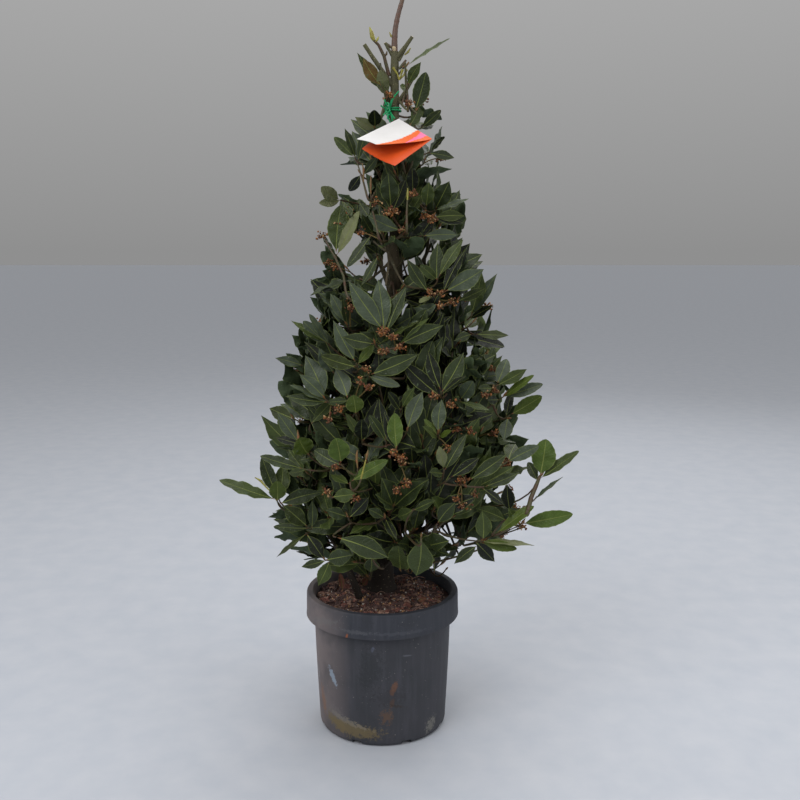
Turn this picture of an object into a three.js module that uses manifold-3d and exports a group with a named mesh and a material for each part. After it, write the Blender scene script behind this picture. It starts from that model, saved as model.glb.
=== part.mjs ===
// A clipped bay pyramid growing in a plastic nursery container.
// Millimetres, +Z up. The origin is on the floor under the middle of the container,
// +X is to the right and -Y is towards the viewer.
//
// The plant is worked out in three steps. Boughs leave the trunk in tiers. Each bough carries
// one mass of foliage, and every mass keeps to the part of the crown that is nearest to its
// own middle. Inside a mass one stem carries twigs, and the twigs carry leaves.
import * as THREE from 'three';
import { mergeVertices } from 'three/addons/utils/BufferGeometryUtils.js';
import Module from 'manifold-3d';

const wasm = await Module();
wasm.setup();

// Container
const potHeight = 218;
const lipRadius = 120;
const skirtRadius = 121;
const skirtDepth = 38;
const wallTopRadius = 109.3;
const footRadius = 101;
const wall = 2.2;
const footCorner = 7;
const lipRound = 1.4;
const lipWidth = 9.5;
const lipSlope = 5;
const potSides = 32;
const notchCount = 8;
const notchWidth = 15;
const notchHeight = 4.5;

// Compost
const compostEdge = 201;
const compostTop = 209;
const compostFlat = 60;
const compostShoulder = { reach: 0.84, rise: 0.45 };
const compostRoughness = 1.6;

// Trunk, from its flat cut to the pruning cut near the top: height, x and y of its middle
const seatGap = 0.3;
const trunkFoot = compostTop + seatGap;
const trunkTop = 1037;
const trunkLine = [
  [trunkFoot, -2, 22],
  [400, 6, 20],
  [560, 16, 17],
  [720, 22, 14],
  [870, 20, 12],
  [trunkTop, 20, 12],
];
const trunkRadii = [
  [trunkFoot, 18.5], [350, 15.5], [560, 12.5], [720, 10.5], [870, 8.4], [trunkTop, 6.6],
];
const rootFlare = 7;
const rootFlareHeight = 14;
const cutDepth = 6;
const trunkSides = 10;
const trunkRings = 11;
const trunkCrowding = 1.5;

// Leader that took over above the pruning cut, and the short second stem from the compost
const leaderTip = [36, 14, 1166];
const leaderRadius = 3.1;
const leaderTipRadius = 1.5;
const leaderBow = 6;
const leaderBud = { radius: 2.6, height: 16 };
const sideStemFoot = [-36, -21, trunkFoot];
const sideStemTip = [-74, -40, 306];
const sideStemRadius = 6.2;

// Crown: its outline as height and radius about one upright line, leaf tips included
const crownAxis = [24, 10];
const crownOutline = [
  [222, 96], [296, 186], [361, 210], [426, 203], [489, 190], [552, 178], [614, 156], [674, 134],
  [735, 120], [794, 106], [852, 96], [910, 76], [967, 60], [1040, 56], [1072, 30],
];
const crownFloor = potHeight + 4;
const massSpread = 0.58;
const turnSway = 8;
const heightSway = 20;

// Tiers of masses, from the pot upwards. A mass's bough, or its own stem where the tier's bough
// radius is 0, leaves the trunk by the drop lower than the mass. The dense tiers have a core
// inside each mass. Columns and rows count its twigs, lift turns its leaves upwards, and leaf is
// their size against a full one.
const tiers = [
  { name: 'skirt', height: 335, masses: 5, turn: 206, drop: 84, bough: 6.4, core: 50, lift: 0.1, leaf: 1 },
  { name: 'belt', height: 478, masses: 5, turn: 242, drop: 84, bough: 5.8, core: 50, lift: 0.2, leaf: 1 },
  { name: 'waist', height: 618, masses: 4, turn: 205, drop: 84, bough: 5, core: 42, lift: 0.3, leaf: 1 },
  { name: 'shoulder', height: 750, masses: 3, turn: 250, drop: 84, bough: 4.6, core: 26, lift: 0.4, leaf: 1 },
  { name: 'neck', height: 872, masses: 3, turn: 190, drop: 50, bough: 0, core: 0, lift: 0.6, leaf: 0.92 },
  { name: 'crown', height: 990, masses: 2, turn: 170, drop: 30, bough: 0, core: 0, lift: 1.1, leaf: 0.78 },
];
const columns = 3;
const rows = 2;
const columnSpread = 1.5;
const twigSway = 0.3;
const firstTwig = 0.22;
const lastTwig = 0.82;
const rowStep = 74;
const rowDrop = 12;
const boughReach = 0.5;
const boughTipRadius = 3.8;
const boughTipDrop = 24;
const boughRise = 12;
const boughSides = 5;
const boughRings = 3;
const coreSqueeze = 0.82;

// Shoots that stand out in the outline: where the leaves of each one fan out, and their number
const longShoots = [
  { at: [213, -22, 321], leaves: 6 },
  { at: [250, -12, 400], leaves: 5 },
  { at: [191, -20, 495], leaves: 5 },
  { at: [137, -16, 641], leaves: 5 },
  { at: [85, -30, 715], leaves: 5 },
  { at: [-172, -22, 361], leaves: 5 },
  { at: [-128, -24, 440], leaves: 4 },
  { at: [-84, -20, 606], leaves: 4 },
  { at: [-71, -14, 743], leaves: 5 },
  { at: [-30, -18, 811], leaves: 5 },
  { at: [-41, -8, 886], leaves: 3 },
  { at: [58, -6, 905], leaves: 3 },
];
const shootOverhang = 62;

// Foliage
const leafLength = 86;
const leafWidth = 36;
const leafThickness = 3;
const leafDroop = 5;
const leafLow = { along: 0.32, across: 0.48, drop: 0.3 };
const leafHigh = { along: 0.7, across: 0.42, drop: 0.6 };
const leafInset = 64;
const leafOverhang = 14;
const leavesPerTwig = 5;
const leafOpening = 1.15;
const tipLeafOpening = 0.5;
const leafTries = 10;
const retryTurn = 0.53;
const retryClosing = 0.03;
const twigSides = 3;
const stemTipRadius = 3.2;
const twigRadius = 1.6;
const twigTipRadius = 1.5;
const shortestTwig = 16;
const leastReach = 0.45;
const budRadius = 4.6;
const goldenTurn = THREE.MathUtils.degToRad(137.5);
const limbGap = 1.2;
const spaceGap = 0.6;
const twigSpaceGap = 20;

// Swing label, a card folded along its back edge, given by three of its corners, and its tie
const labelBack = [26, -8, 939];
const labelRight = [74, -46, 906];
const labelLeft = [-30, -62, 897];
const labelOpening = 12;
const labelCard = 0.9;
const tieHeight = 952;
const tieRadius = 1;

const weld = 1e-4;
const shortEdge = 0.12;
const up = new THREE.Vector3(0, 0, 1);
const lerp = THREE.MathUtils.lerp;
const vector = (list) => new THREE.Vector3(...list);

// The value at a height, from a list of [height, value] pairs in rising order.
function valueAt(list, height) {
  const upper = list.findIndex(([level]) => level > height);
  if (upper === 0) return list[0][1];
  if (upper < 0) return list[list.length - 1][1];
  const [lowLevel, low] = list[upper - 1];
  const [highLevel, high] = list[upper];
  return lerp(low, high, (height - lowLevel) / (highLevel - lowLevel));
}

// A repeatable source of numbers from 0 to 1.
function seeded(seed) {
  let state = Math.imul(seed, 2654435761) >>> 0;
  return () => {
    state = (Math.imul(state, 1664525) + 1013904223) >>> 0;
    return state / 4294967296;
  };
}

// A geometry as a solid that can be joined and cut.
function toSolid(geometry) {
  const bare = geometry.clone();
  bare.deleteAttribute('normal');
  bare.deleteAttribute('uv');
  const merged = mergeVertices(bare, weld);
  const mesh = new wasm.Mesh({
    numProp: 3,
    vertProperties: new Float32Array(merged.attributes.position.array),
    triVerts: new Uint32Array(merged.index.array),
  });
  return new wasm.Manifold(mesh);
}

// Draws the ends of every very short edge together, where the surface stays closed by it.
function withoutShortEdges(places, faces) {
  const around = places.map(() => new Set());
  faces.forEach((face) => face.forEach((corner) => around[corner].add(face)));
  const cornersNear = (corner) => new Set([...around[corner]].flat());
  const close = (kept, dropped) => {
    for (const face of around[dropped]) {
      if (face.includes(kept)) {
        face.forEach((corner) => corner !== dropped && around[corner].delete(face));
        face.fill(kept);
      } else {
        face[face.indexOf(dropped)] = kept;
        around[kept].add(face);
      }
    }
    around[dropped].clear();
  };
  for (const face of faces) {
    for (let side = 0; side < 3; side += 1) {
      const [kept, dropped] = [face[side], face[(side + 1) % 3]];
      if (kept === dropped || places[kept].distanceTo(places[dropped]) > shortEdge) continue;
      const near = cornersNear(dropped);
      const shared = [...cornersNear(kept)].filter((corner) => near.has(corner));
      if (shared.length === 4) close(kept, dropped);
    }
  }
  return faces.filter(([first, second]) => first !== second);
}

// The largest outer shell of a solid as a geometry: scraps and sealed hollows are left out.
function toGeometry(solid) {
  const largest = solid.decompose().reduce((best, body) => (body.volume() > best.volume() ? body : best));
  const mesh = largest.getMesh();
  const bare = new THREE.BufferGeometry();
  bare.setAttribute('position', new THREE.BufferAttribute(mesh.vertProperties, 3));
  const triangles = Array.from({ length: mesh.triVerts.length / 3 }, (_, i) => (
    Array.from(mesh.triVerts.subarray(i * 3, i * 3 + 3))
  ));
  bare.setIndex(withoutShortEdges(cornersOf(bare), triangles).flat());
  return mergeVertices(bare.toNonIndexed(), weld);
}

// Changes each corner of a geometry in place by a function of its position.
function shaped(geometry, move) {
  const places = geometry.attributes.position;
  const point = new THREE.Vector3();
  for (let i = 0; i < places.count; i += 1) {
    point.fromBufferAttribute(places, i);
    move(point);
    places.setXYZ(i, point.x, point.y, point.z);
  }
  return geometry;
}

// The direction of a path at a share of its length.
function wayAt(pointAt, share) {
  const before = pointAt(Math.max(share - 0.01, 0));
  return pointAt(Math.min(share + 0.01, 1)).sub(before).normalize();
}

function cornersOf(geometry) {
  const places = geometry.attributes.position;
  return Array.from({ length: places.count }, (_, i) => new THREE.Vector3().fromBufferAttribute(places, i));
}

// An upright tapering tube about +Y whose two ends are closed with as few faces as they need.
function closedTube(topRadius, lowRadius, length, sides, rings) {
  const tube = new THREE.CylinderGeometry(topRadius, lowRadius, length, sides, rings, true);
  const faces = Array.from(tube.index.array);
  const lastRow = rings * (sides + 1);
  for (let i = 1; i < sides - 1; i += 1) {
    faces.push(0, i, i + 1, lastRow, lastRow + i + 1, lastRow + i);
  }
  tube.setIndex(faces);
  return tube;
}

// A tapering limb along a path. Point and radius are functions of the share of its length, and
// crowding draws its rings together towards the foot.
function limb(pointAt, radiusAt, sides, rings, across = new THREE.Vector3(1, 0, 0), crowding = 1) {
  return shaped(closedTube(1, 1, 1, sides, rings), (point) => {
    const share = (point.y + 0.5) ** crowding;
    const along = wayAt(pointAt, share);
    const first = across.clone().addScaledVector(along, -across.dot(along)).normalize();
    const second = new THREE.Vector3().crossVectors(first, along);
    const radius = radiusAt(share);
    const [x, z] = [point.x * radius, point.z * radius];
    point.copy(pointAt(share)).addScaledVector(first, x).addScaledVector(second, z);
  });
}

// A path from one point to another that is drawn towards a third.
function bent(from, towards, to) {
  return (share) => {
    const first = from.clone().lerp(towards, share);
    return first.lerp(towards.clone().lerp(to, share), share);
  };
}

// A straight tapering rod between two points.
function rod(from, to, startRadius, endRadius, sides) {
  const length = from.distanceTo(to);
  const geometry = closedTube(endRadius, startRadius, length, sides, 1);
  geometry.translate(0, length / 2, 0);
  const direction = to.clone().sub(from).normalize();
  geometry.applyQuaternion(new THREE.Quaternion().setFromUnitVectors(new THREE.Vector3(0, 1, 0), direction));
  geometry.translate(from.x, from.y, from.z);
  return geometry;
}

// A solid of revolution about +Z from [radius, height] points.
function turned(points, sides) {
  const profile = points.map(([radius, height]) => new THREE.Vector2(radius, height));
  const geometry = new THREE.LatheGeometry(profile, sides);
  geometry.rotateX(Math.PI / 2);
  return geometry;
}

function makePot() {
  const skirtFoot = potHeight - skirtDepth;
  const floor = wall;
  const innerFoot = footRadius - wall;
  const profile = [
    [0, 0],
    [footRadius - footCorner, 0],
    [footRadius - footCorner * 0.3, footCorner * 0.3],
    [footRadius, footCorner],
    [wallTopRadius, potHeight - wall],
    [lipRadius - wall, potHeight - wall],
    [skirtRadius - wall, skirtFoot],
    [skirtRadius, skirtFoot],
    [lipRadius, potHeight - lipRound],
    [lipRadius - lipRound, potHeight],
    [lipRadius - lipWidth, potHeight],
    [wallTopRadius - wall, potHeight - lipSlope],
    [innerFoot, floor + footCorner],
    [innerFoot - footCorner, floor],
    [0, floor],
  ];
  const shell = toSolid(turned(profile, potSides));
  const notches = Array.from({ length: notchCount }, (_, i) => {
    const notch = new THREE.BoxGeometry(footCorner * 2, notchWidth, notchHeight * 2);
    notch.translate(footRadius, 0, 0);
    notch.rotateZ(((i + 0.5) / notchCount) * Math.PI * 2);
    return toSolid(notch);
  });
  return toGeometry(shell.subtract(wasm.Manifold.union(notches)));
}

function makeCompost() {
  const floor = wall + seatGap;
  const innerFoot = footRadius - wall - seatGap;
  const edge = lerp(footRadius, wallTopRadius, compostEdge / potHeight) - wall - seatGap;
  const profile = [
    [0, floor],
    [innerFoot - footCorner, floor],
    [innerFoot, floor + footCorner],
    [edge, compostEdge],
    [edge * compostShoulder.reach, lerp(compostEdge, compostTop, compostShoulder.rise)],
    [compostFlat, compostTop],
    [0, compostTop],
  ];
  const random = seeded(5);
  const bare = turned(profile, potSides);
  bare.deleteAttribute('normal');
  bare.deleteAttribute('uv');
  const body = mergeVertices(bare, weld);
  return shaped(body, (point) => {
    const lift = (random() - 0.5) * 2 * compostRoughness;
    const reach = Math.hypot(point.x, point.y);
    if (point.z > compostEdge + 1 && reach > compostFlat + 1) point.z += lift;
  });
}

function trunkPoint(height) {
  const xLine = trunkLine.map(([level, x]) => [level, x]);
  const yLine = trunkLine.map(([level, , y]) => [level, y]);
  return new THREE.Vector3(valueAt(xLine, height), valueAt(yLine, height), height);
}

// Stems start a little under the compost's top, and are cut flat just above it.
const trunkHeight = (share) => lerp(trunkFoot - cutDepth, trunkTop, share);
const trunkAt = (share) => trunkPoint(trunkHeight(share));

function cutFlat(stem) {
  const block = new THREE.BoxGeometry(lipRadius, lipRadius, cutDepth * 4);
  return stem.subtract(toSolid(block.translate(0, 0, trunkFoot - cutDepth * 2)));
}

function trunkRadius(height) {
  const flare = Math.exp(Math.min(trunkFoot - height, 0) / rootFlareHeight);
  return valueAt(trunkRadii, height) + rootFlare * flare;
}

// Stubs that the pruning left under the trunk's top.
const stubs = [
  { height: trunkTop - 12, to: [46, 2, 1056], radius: 2.6 },
  { height: trunkTop - 10, to: [6, 4, 1048], radius: 1.9 },
  { height: trunkTop - 52, to: [-24, -4, 1044], radius: 2.8 },
];

// The trunk with its stubs, or with something extra all round.
function trunkBody(extra) {
  const radiusAt = (share) => trunkRadius(trunkHeight(share)) + extra;
  const stem = cutFlat(toSolid(limb(trunkAt, radiusAt, trunkSides, trunkRings, undefined, trunkCrowding)));
  const pieces = stubs.map(({ height, to, radius }) => {
    const from = trunkPoint(height);
    const end = from.clone().lerp(vector(to), 1 + extra / from.distanceTo(vector(to)));
    return toSolid(rod(from, end, radius * 1.2 + extra, radius + extra, 5));
  });
  return wasm.Manifold.union([stem, ...pieces]);
}

const trunkClearance = trunkBody(seatGap);

function makeLeader() {
  const foot = trunkPoint(trunkTop).setZ(trunkTop + seatGap);
  const tip = vector(leaderTip);
  const bend = foot.clone().lerp(tip, 0.5).add(new THREE.Vector3(-leaderBow, 0, 0));
  const radiusAt = (share) => lerp(leaderRadius, leaderTipRadius, share);
  const stem = toSolid(limb(bent(foot, bend, tip), radiusAt, 6, 6));
  const block = new THREE.BoxGeometry(40, 40, 40).translate(foot.x, foot.y, foot.z - 20);
  const bud = new THREE.OctahedronGeometry(1).scale(leaderBud.radius, leaderBud.radius, leaderBud.height / 2);
  bud.translate(tip.x, tip.y, tip.z + leaderBud.height / 5);
  return toGeometry(stem.subtract(toSolid(block)).add(toSolid(bud)));
}

const crownMiddle = (height) => new THREE.Vector3(crownAxis[0], crownAxis[1], height);
const crownRadius = (height) => valueAt(crownOutline, height);

// A point is inside the crown when it is within the outline by at least the given inset.
function insideCrown(point, inset) {
  const reach = Math.hypot(point.x - crownAxis[0], point.y - crownAxis[1]);
  return point.z > crownFloor && reach < crownRadius(point.z) - inset;
}

// The point at a turn, a height and a reach from the crown's middle line.
function crownPoint(turn, height, reach) {
  return crownMiddle(height).add(new THREE.Vector3(Math.cos(turn) * reach, Math.sin(turn) * reach, 0));
}

// Every mass with its middle and its outward direction.
function planMasses() {
  const planned = [];
  tiers.forEach((tier, level) => {
    for (let i = 0; i < tier.masses; i += 1) {
      const seed = level * 10 + i + 1;
      const random = seeded(seed);
      const degrees = tier.turn + (i * 360) / tier.masses + (random() - 0.5) * turnSway;
      const turn = THREE.MathUtils.degToRad(degrees);
      const height = tier.height + (random() - 0.5) * heightSway;
      const middle = crownPoint(turn, height, crownRadius(height) * massSpread);
      const outward = new THREE.Vector3(Math.cos(turn), Math.sin(turn), 0);
      planned.push({ tier, seed, turn, height, outward, middle, number: i + 1 });
    }
  });
  return planned;
}

const masses = planMasses();
masses[0].onSideStem = true;

// A point is in a mass's own space when no other mass's middle is nearer, by the given margin.
function inOwnSpace(point, mass, margin) {
  return masses.every((other) => {
    if (other === mass) return true;
    const between = other.middle.clone().sub(mass.middle);
    const along = point.clone().sub(mass.middle).dot(between) / between.length();
    return along < between.length() / 2 - margin;
  });
}

// Limbs as strings of balls, so that foliage can be kept clear of them.
const balls = [];
function addBalls(pointAt, radiusAt, length, owner) {
  const count = Math.ceil(length / 4);
  for (let i = 0; i <= count; i += 1) {
    balls.push({ middle: pointAt(i / count), radius: radiusAt(i / count), owner });
  }
}

function clearOfLimbs(points, gap, mass) {
  return points.every((point) => balls.every(
    (ball) => ball.owner === mass || point.distanceTo(ball.middle) > ball.radius + gap,
  ));
}

// The path of the bough that carries a mass. It leaves the trunk steeply and then levels out.
function boughPath(mass) {
  if (mass.onSideStem) {
    const [from, to] = [vector(sideStemFoot).setZ(trunkFoot - cutDepth), vector(sideStemTip)];
    return bent(from, from.clone().lerp(to, 0.5).add(new THREE.Vector3(5, 2, 0)), to);
  }
  const foot = trunkPoint(mass.height - mass.tier.drop);
  const reach = crownRadius(mass.height) * massSpread * boughReach;
  const tip = crownPoint(mass.turn, mass.height - boughTipDrop, reach);
  return bent(foot, foot.clone().lerp(tip, 0.5).add(new THREE.Vector3(0, 0, boughRise)), tip);
}

// The solid of a mass's bough, or with something extra all round and past its tip.
function boughBody(mass, extra) {
  const startRadius = mass.onSideStem ? sideStemRadius : mass.tier.bough;
  const across = new THREE.Vector3().crossVectors(up, mass.outward);
  const radiusAt = (share) => lerp(startRadius, boughTipRadius, share) + extra;
  const length = mass.path(0).distanceTo(mass.path(1));
  const reach = 1 + extra / length;
  return toSolid(limb((share) => mass.path(share * reach), radiusAt, boughSides, boughRings, across));
}

function makeBough(mass) {
  const body = boughBody(mass, 0);
  return toGeometry(mass.onSideStem ? cutFlat(body) : body.subtract(trunkClearance));
}

// One leaf of eight faces, with its root at the origin and its tip along +X. Its midrib is a
// ridge, and its edges droop from it.
function leafBlade(length, width) {
  const edgePoint = ({ along, across, drop }, side) => (
    [length * along, width * across * side, -leafThickness - leafDroop * drop]
  );
  const places = [
    [0, 0, 0], edgePoint(leafLow, 1), edgePoint(leafHigh, 1),
    [length, 0, -leafDroop], edgePoint(leafHigh, -1), edgePoint(leafLow, -1),
  ];
  const [root, leftLow, leftHigh, tip, rightHigh, rightLow] = places.keys();
  const faces = [
    [root, rightLow, tip], [rightLow, rightHigh, tip], [root, tip, leftLow], [leftLow, tip, leftHigh],
    [root, leftLow, rightLow], [leftLow, rightHigh, rightLow], [leftLow, leftHigh, rightHigh],
    [leftHigh, tip, rightHigh],
  ];
  const geometry = new THREE.BufferGeometry();
  geometry.setAttribute('position', new THREE.Float32BufferAttribute(places.flat(), 3));
  geometry.setIndex(faces.flat());
  return geometry;
}

// The matrix that lays +X along a direction with +Z as near as it can be to the face direction.
function leafPlace(root, direction, face) {
  const normal = face.clone().addScaledVector(direction, -face.dot(direction)).normalize();
  const side = new THREE.Vector3().crossVectors(normal, direction);
  return new THREE.Matrix4().makeBasis(direction, side, normal).setPosition(root);
}

// Points spread over a leaf, three to a row, from just past its root to its tip.
function leafSamples(length, width, matrix) {
  const samples = [];
  for (const share of [0.1, 0.26, 0.42, 0.58, 0.74, 0.88, 1]) {
    const half = width * leafLow.across * Math.sin(Math.PI * Math.min(share, 0.97));
    for (const side of [-1, 0, 1]) {
      const drop = -leafThickness * Math.abs(side) - leafDroop * share;
      samples.push(new THREE.Vector3(share * length, side * half, drop).applyMatrix4(matrix));
    }
  }
  return samples;
}

// A direction that opens by an angle from another one, at a turn about it.
function turnedAbout(direction, turn, opening) {
  const helper = Math.abs(direction.z) > 0.9 ? new THREE.Vector3(1, 0, 0) : up;
  const first = new THREE.Vector3().crossVectors(helper, direction).normalize();
  const second = new THREE.Vector3().crossVectors(direction, first);
  const radial = first.multiplyScalar(Math.cos(turn)).addScaledVector(second, Math.sin(turn));
  return direction.clone().multiplyScalar(Math.cos(opening)).addScaledVector(radial, Math.sin(opening));
}

// Where a straight line from one point to another meets a leaf, or null where it misses it.
function meeting(from, to, corners) {
  const [root, leftLow, leftHigh, tip, rightHigh, rightLow] = corners;
  const faces = [
    [root, rightLow, tip], [rightLow, rightHigh, tip], [root, tip, leftLow], [leftLow, tip, leftHigh],
  ];
  const ray = new THREE.Ray(from, to.clone().sub(from).normalize());
  const length = from.distanceTo(to);
  for (const [a, b, c] of faces) {
    const hit = ray.intersectTriangle(a, b, c, false, new THREE.Vector3());
    if (hit && hit.distanceTo(from) < length) return hit;
  }
  return null;
}

// Two leaves cross when an edge or the midrib of one meets the other.
function leavesCross(first, second) {
  const pierces = (one, other) => one.some((corner, i) => meeting(corner, one[(i + 1) % 6], other))
    || meeting(one[0], one[3], other);
  return pierces(first, second) || pierces(second, first);
}

function leafFits(mass, samples, corners, overhang) {
  const [root] = corners;
  const crossesRod = ({ from, to }) => {
    const hit = meeting(from, to, corners);
    return hit && hit.distanceTo(root) > twigRadius * 2;
  };
  return samples.every((point) => insideCrown(point, -overhang))
    && corners.slice(1).every((point) => inOwnSpace(point, mass, spaceGap))
    && !mass.rods.some(crossesRod)
    && !mass.leaves.some((other) => leavesCross(corners, other))
    && clearOfLimbs(samples, limbGap, mass);
}

// Leaves set in a spiral towards the end of a twig. A leaf that would leave the mass's own space
// or the outline, or touch a limb or another leaf, is turned further, and at last left out.
function addLeaves(pieces, mass, from, to, count, seed, overhang) {
  const random = seeded(seed);
  const along = to.clone().sub(from).normalize();
  const start = random() * Math.PI * 2;
  for (let i = 0; i < count; i += 1) {
    const share = count > 1 ? i / (count - 1) : 1;
    const root = from.clone().lerp(to, lerp(0.5, 0.97, share));
    const length = leafLength * mass.tier.leaf * (0.84 + 0.28 * random());
    const width = leafWidth * mass.tier.leaf * (0.88 + 0.26 * random());
    const sway = (random() - 0.5) * 0.3;
    for (let attempt = 0; attempt < leafTries; attempt += 1) {
      const opening = lerp(leafOpening, tipLeafOpening, share) + sway - attempt * retryClosing;
      const direction = turnedAbout(along, start + i * goldenTurn + attempt * retryTurn, opening);
      direction.addScaledVector(up, mass.tier.lift).normalize();
      const face = along.clone().addScaledVector(up, 0.3);
      const matrix = leafPlace(root, direction, face);
      const blade = leafBlade(length, width).applyMatrix4(matrix);
      const corners = cornersOf(blade);
      if (leafFits(mass, leafSamples(length, width, matrix), corners, overhang)) {
        pieces.push(toSolid(blade));
        mass.leaves.push(corners);
        break;
      }
    }
  }
}

// A knot of flower buds in the angle between a twig and its leaves.
function budKnot(place) {
  return toSolid(new THREE.OctahedronGeometry(budRadius).translate(place.x, place.y, place.z));
}

// How far from the crown's middle line the twigs end, so that their leaves reach the outline.
const twigReach = (height) => (
  Math.max(crownRadius(height) - leafInset, crownRadius(height) * leastReach, shortestTwig)
);

// The longest twig towards a point that stays in the mass's space and clear of the limbs.
function twigEnd(mass, from, towards) {
  const wanted = from.distanceTo(towards);
  const direction = towards.clone().sub(from).normalize();
  for (let length = wanted; length >= shortestTwig; length -= 4) {
    const path = [0.1, 0.25, 0.4, 0.55, 0.7, 0.85, 1].map(
      (share) => from.clone().addScaledVector(direction, length * share),
    );
    const end = path[path.length - 1];
    const tipInside = inOwnSpace(end, mass, twigSpaceGap);
    const allInside = tipInside && path.every((point) => inOwnSpace(point, mass, limbGap));
    if (allInside && clearOfLimbs(path, twigRadius + limbGap, mass)) return end;
  }
  return null;
}

// The core of a dense mass: a lump round its middle that the twigs stand out of.
function makeCore(mass) {
  const reach = new THREE.Vector3(1, 1, coreSqueeze).multiplyScalar(mass.tier.core);
  const core = new THREE.IcosahedronGeometry(1).scale(reach.x, reach.y, reach.z);
  return toSolid(core.translate(mass.middle.x, mass.middle.y, mass.middle.z));
}

// The rods of a mass: its stem, the long shoots that are nearest to it, and its twigs in columns
// and rows over its part of the outline.
function planRods(mass) {
  const random = seeded(mass.seed * 7 + 3);
  const stemAt = (share) => mass.stemFoot.clone().lerp(mass.stemTip, share);
  const stem = { from: mass.stemFoot, to: mass.stemTip, radius: boughTipRadius, tipRadius: stemTipRadius };
  const rods = [{ ...stem, seed: mass.seed * 97 }];
  longShoots.forEach(({ at, leaves }, i) => {
    const to = vector(at);
    if (inOwnSpace(to, mass, spaceGap * 6)) {
      rods.push({ from: stemAt(0.9), to, radius: twigRadius, seed: i * 31 + 5, leaves });
    }
  });
  const count = columns * rows;
  for (let i = 0; i < count; i += 1) {
    const column = (i % columns) - (columns - 1) / 2 + (random() - 0.5) * twigSway;
    const row = Math.floor(i / columns) - (rows - 1) / 2 + (random() - 0.5) * twigSway;
    const turn = mass.turn + (column * columnSpread * Math.PI) / mass.tier.masses / columns;
    const height = mass.height + row * rowStep - rowDrop;
    const target = crownPoint(turn, height, twigReach(height) * (0.9 + 0.12 * random()));
    const from = stemAt(lerp(firstTwig, lastTwig, i / (count - 1)));
    const to = twigEnd(mass, from, target);
    if (to) rods.push({ from, to, radius: twigRadius, seed: mass.seed * 97 + i + 11, buds: i % 3 === 0 });
  }
  return rods;
}

// A mass of foliage: its rods, its core and its leaves, cut clear of the limbs.
function makeMass(mass) {
  mass.leaves = [];
  mass.rods = planRods(mass);
  const pieces = mass.rods.map(({ from, to, radius, tipRadius }) => (
    toSolid(rod(from, to, radius, tipRadius ?? twigTipRadius, twigSides))
  ));
  if (mass.tier.core) pieces.push(makeCore(mass));
  for (const { from, to, seed, leaves, buds } of mass.rods) {
    const start = leaves ? from.clone().lerp(to, 0.3) : from;
    const overhang = leaves ? shootOverhang : leafOverhang;
    addLeaves(pieces, mass, start, to, leaves ?? leavesPerTwig, seed, overhang);
    if (leaves || buds) pieces.push(budKnot(from.clone().lerp(to, 0.88)));
  }
  const body = wasm.Manifold.union(pieces).subtract(trunkClearance);
  return toGeometry(mass.tier.bough ? body.subtract(boughBody(mass, seatGap)) : body);
}

// A folded card hanging open like a V. Its fold lies along X, and its panels reach along -Y.
function makeLabel(length, flap) {
  const opening = THREE.MathUtils.degToRad(labelOpening);
  const outline = new THREE.Shape([
    new THREE.Vector2(labelCard, 0),
    new THREE.Vector2(-flap, labelCard / 2),
    new THREE.Vector2(-flap, -labelCard / 2),
    new THREE.Vector2(-labelCard * 3, -labelCard / 2),
    new THREE.Vector2(-flap * Math.cos(opening), -flap * Math.sin(opening)),
    new THREE.Vector2(-flap * Math.cos(opening), -flap * Math.sin(opening) - labelCard),
  ]);
  const card = new THREE.ExtrudeGeometry(outline, { depth: length, bevelEnabled: false });
  const [x, y] = [new THREE.Vector3(1, 0, 0), new THREE.Vector3(0, 1, 0)];
  return card.applyMatrix4(new THREE.Matrix4().makeBasis(y, up, x));
}

// The turn that lays X along the label's fold and -Y along its upper panel.
function labelTurn(fold, panel) {
  const along = fold.clone().normalize();
  const back = panel.clone().negate();
  back.addScaledVector(along, -back.dot(along)).normalize();
  const basis = new THREE.Matrix4().makeBasis(along, back, new THREE.Vector3().crossVectors(along, back));
  return new THREE.Quaternion().setFromRotationMatrix(basis);
}

function makeTie() {
  const loopRadius = trunkRadius(tieHeight) + seatGap + tieRadius + 0.4;
  const loop = new THREE.TorusGeometry(loopRadius, tieRadius, 5, 14);
  const middle = trunkPoint(tieHeight);
  loop.translate(middle.x, middle.y, middle.z);
  const knot = new THREE.Vector3(middle.x - loopRadius * 0.7, middle.y - loopRadius * 0.7, middle.z);
  const hangsTo = vector(labelBack).lerp(vector(labelLeft), 0.12).add(new THREE.Vector3(0, 2, 3));
  const tail = toSolid(rod(knot, hangsTo, tieRadius * 1.4, tieRadius, 5));
  return toGeometry(toSolid(loop).add(tail));
}

const materials = {
  pot: new THREE.MeshStandardMaterial({ color: 0x3f4145, roughness: 0.6, metalness: 0 }),
  compost: new THREE.MeshStandardMaterial({ color: 0x3a2418, roughness: 0.95, metalness: 0 }),
  bark: new THREE.MeshStandardMaterial({ color: 0x4c4534, roughness: 0.85, metalness: 0 }),
  foliage: new THREE.MeshStandardMaterial({ color: 0x2c4428, roughness: 0.4, metalness: 0 }),
  label: new THREE.MeshStandardMaterial({ color: 0xf0703a, roughness: 0.6, metalness: 0 }),
  tie: new THREE.MeshStandardMaterial({ color: 0x17935c, roughness: 0.5, metalness: 0 }),
};

const plant = new THREE.Group();
function add(name, geometry, material) {
  const mesh = new THREE.Mesh(geometry, material);
  mesh.name = name;
  plant.add(mesh);
  return mesh;
}

add('pot', makePot(), materials.pot);
add('compost', makeCompost(), materials.compost);
add('trunk', toGeometry(trunkBody(0)), materials.bark);
add('leader', makeLeader(), materials.bark);

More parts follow.
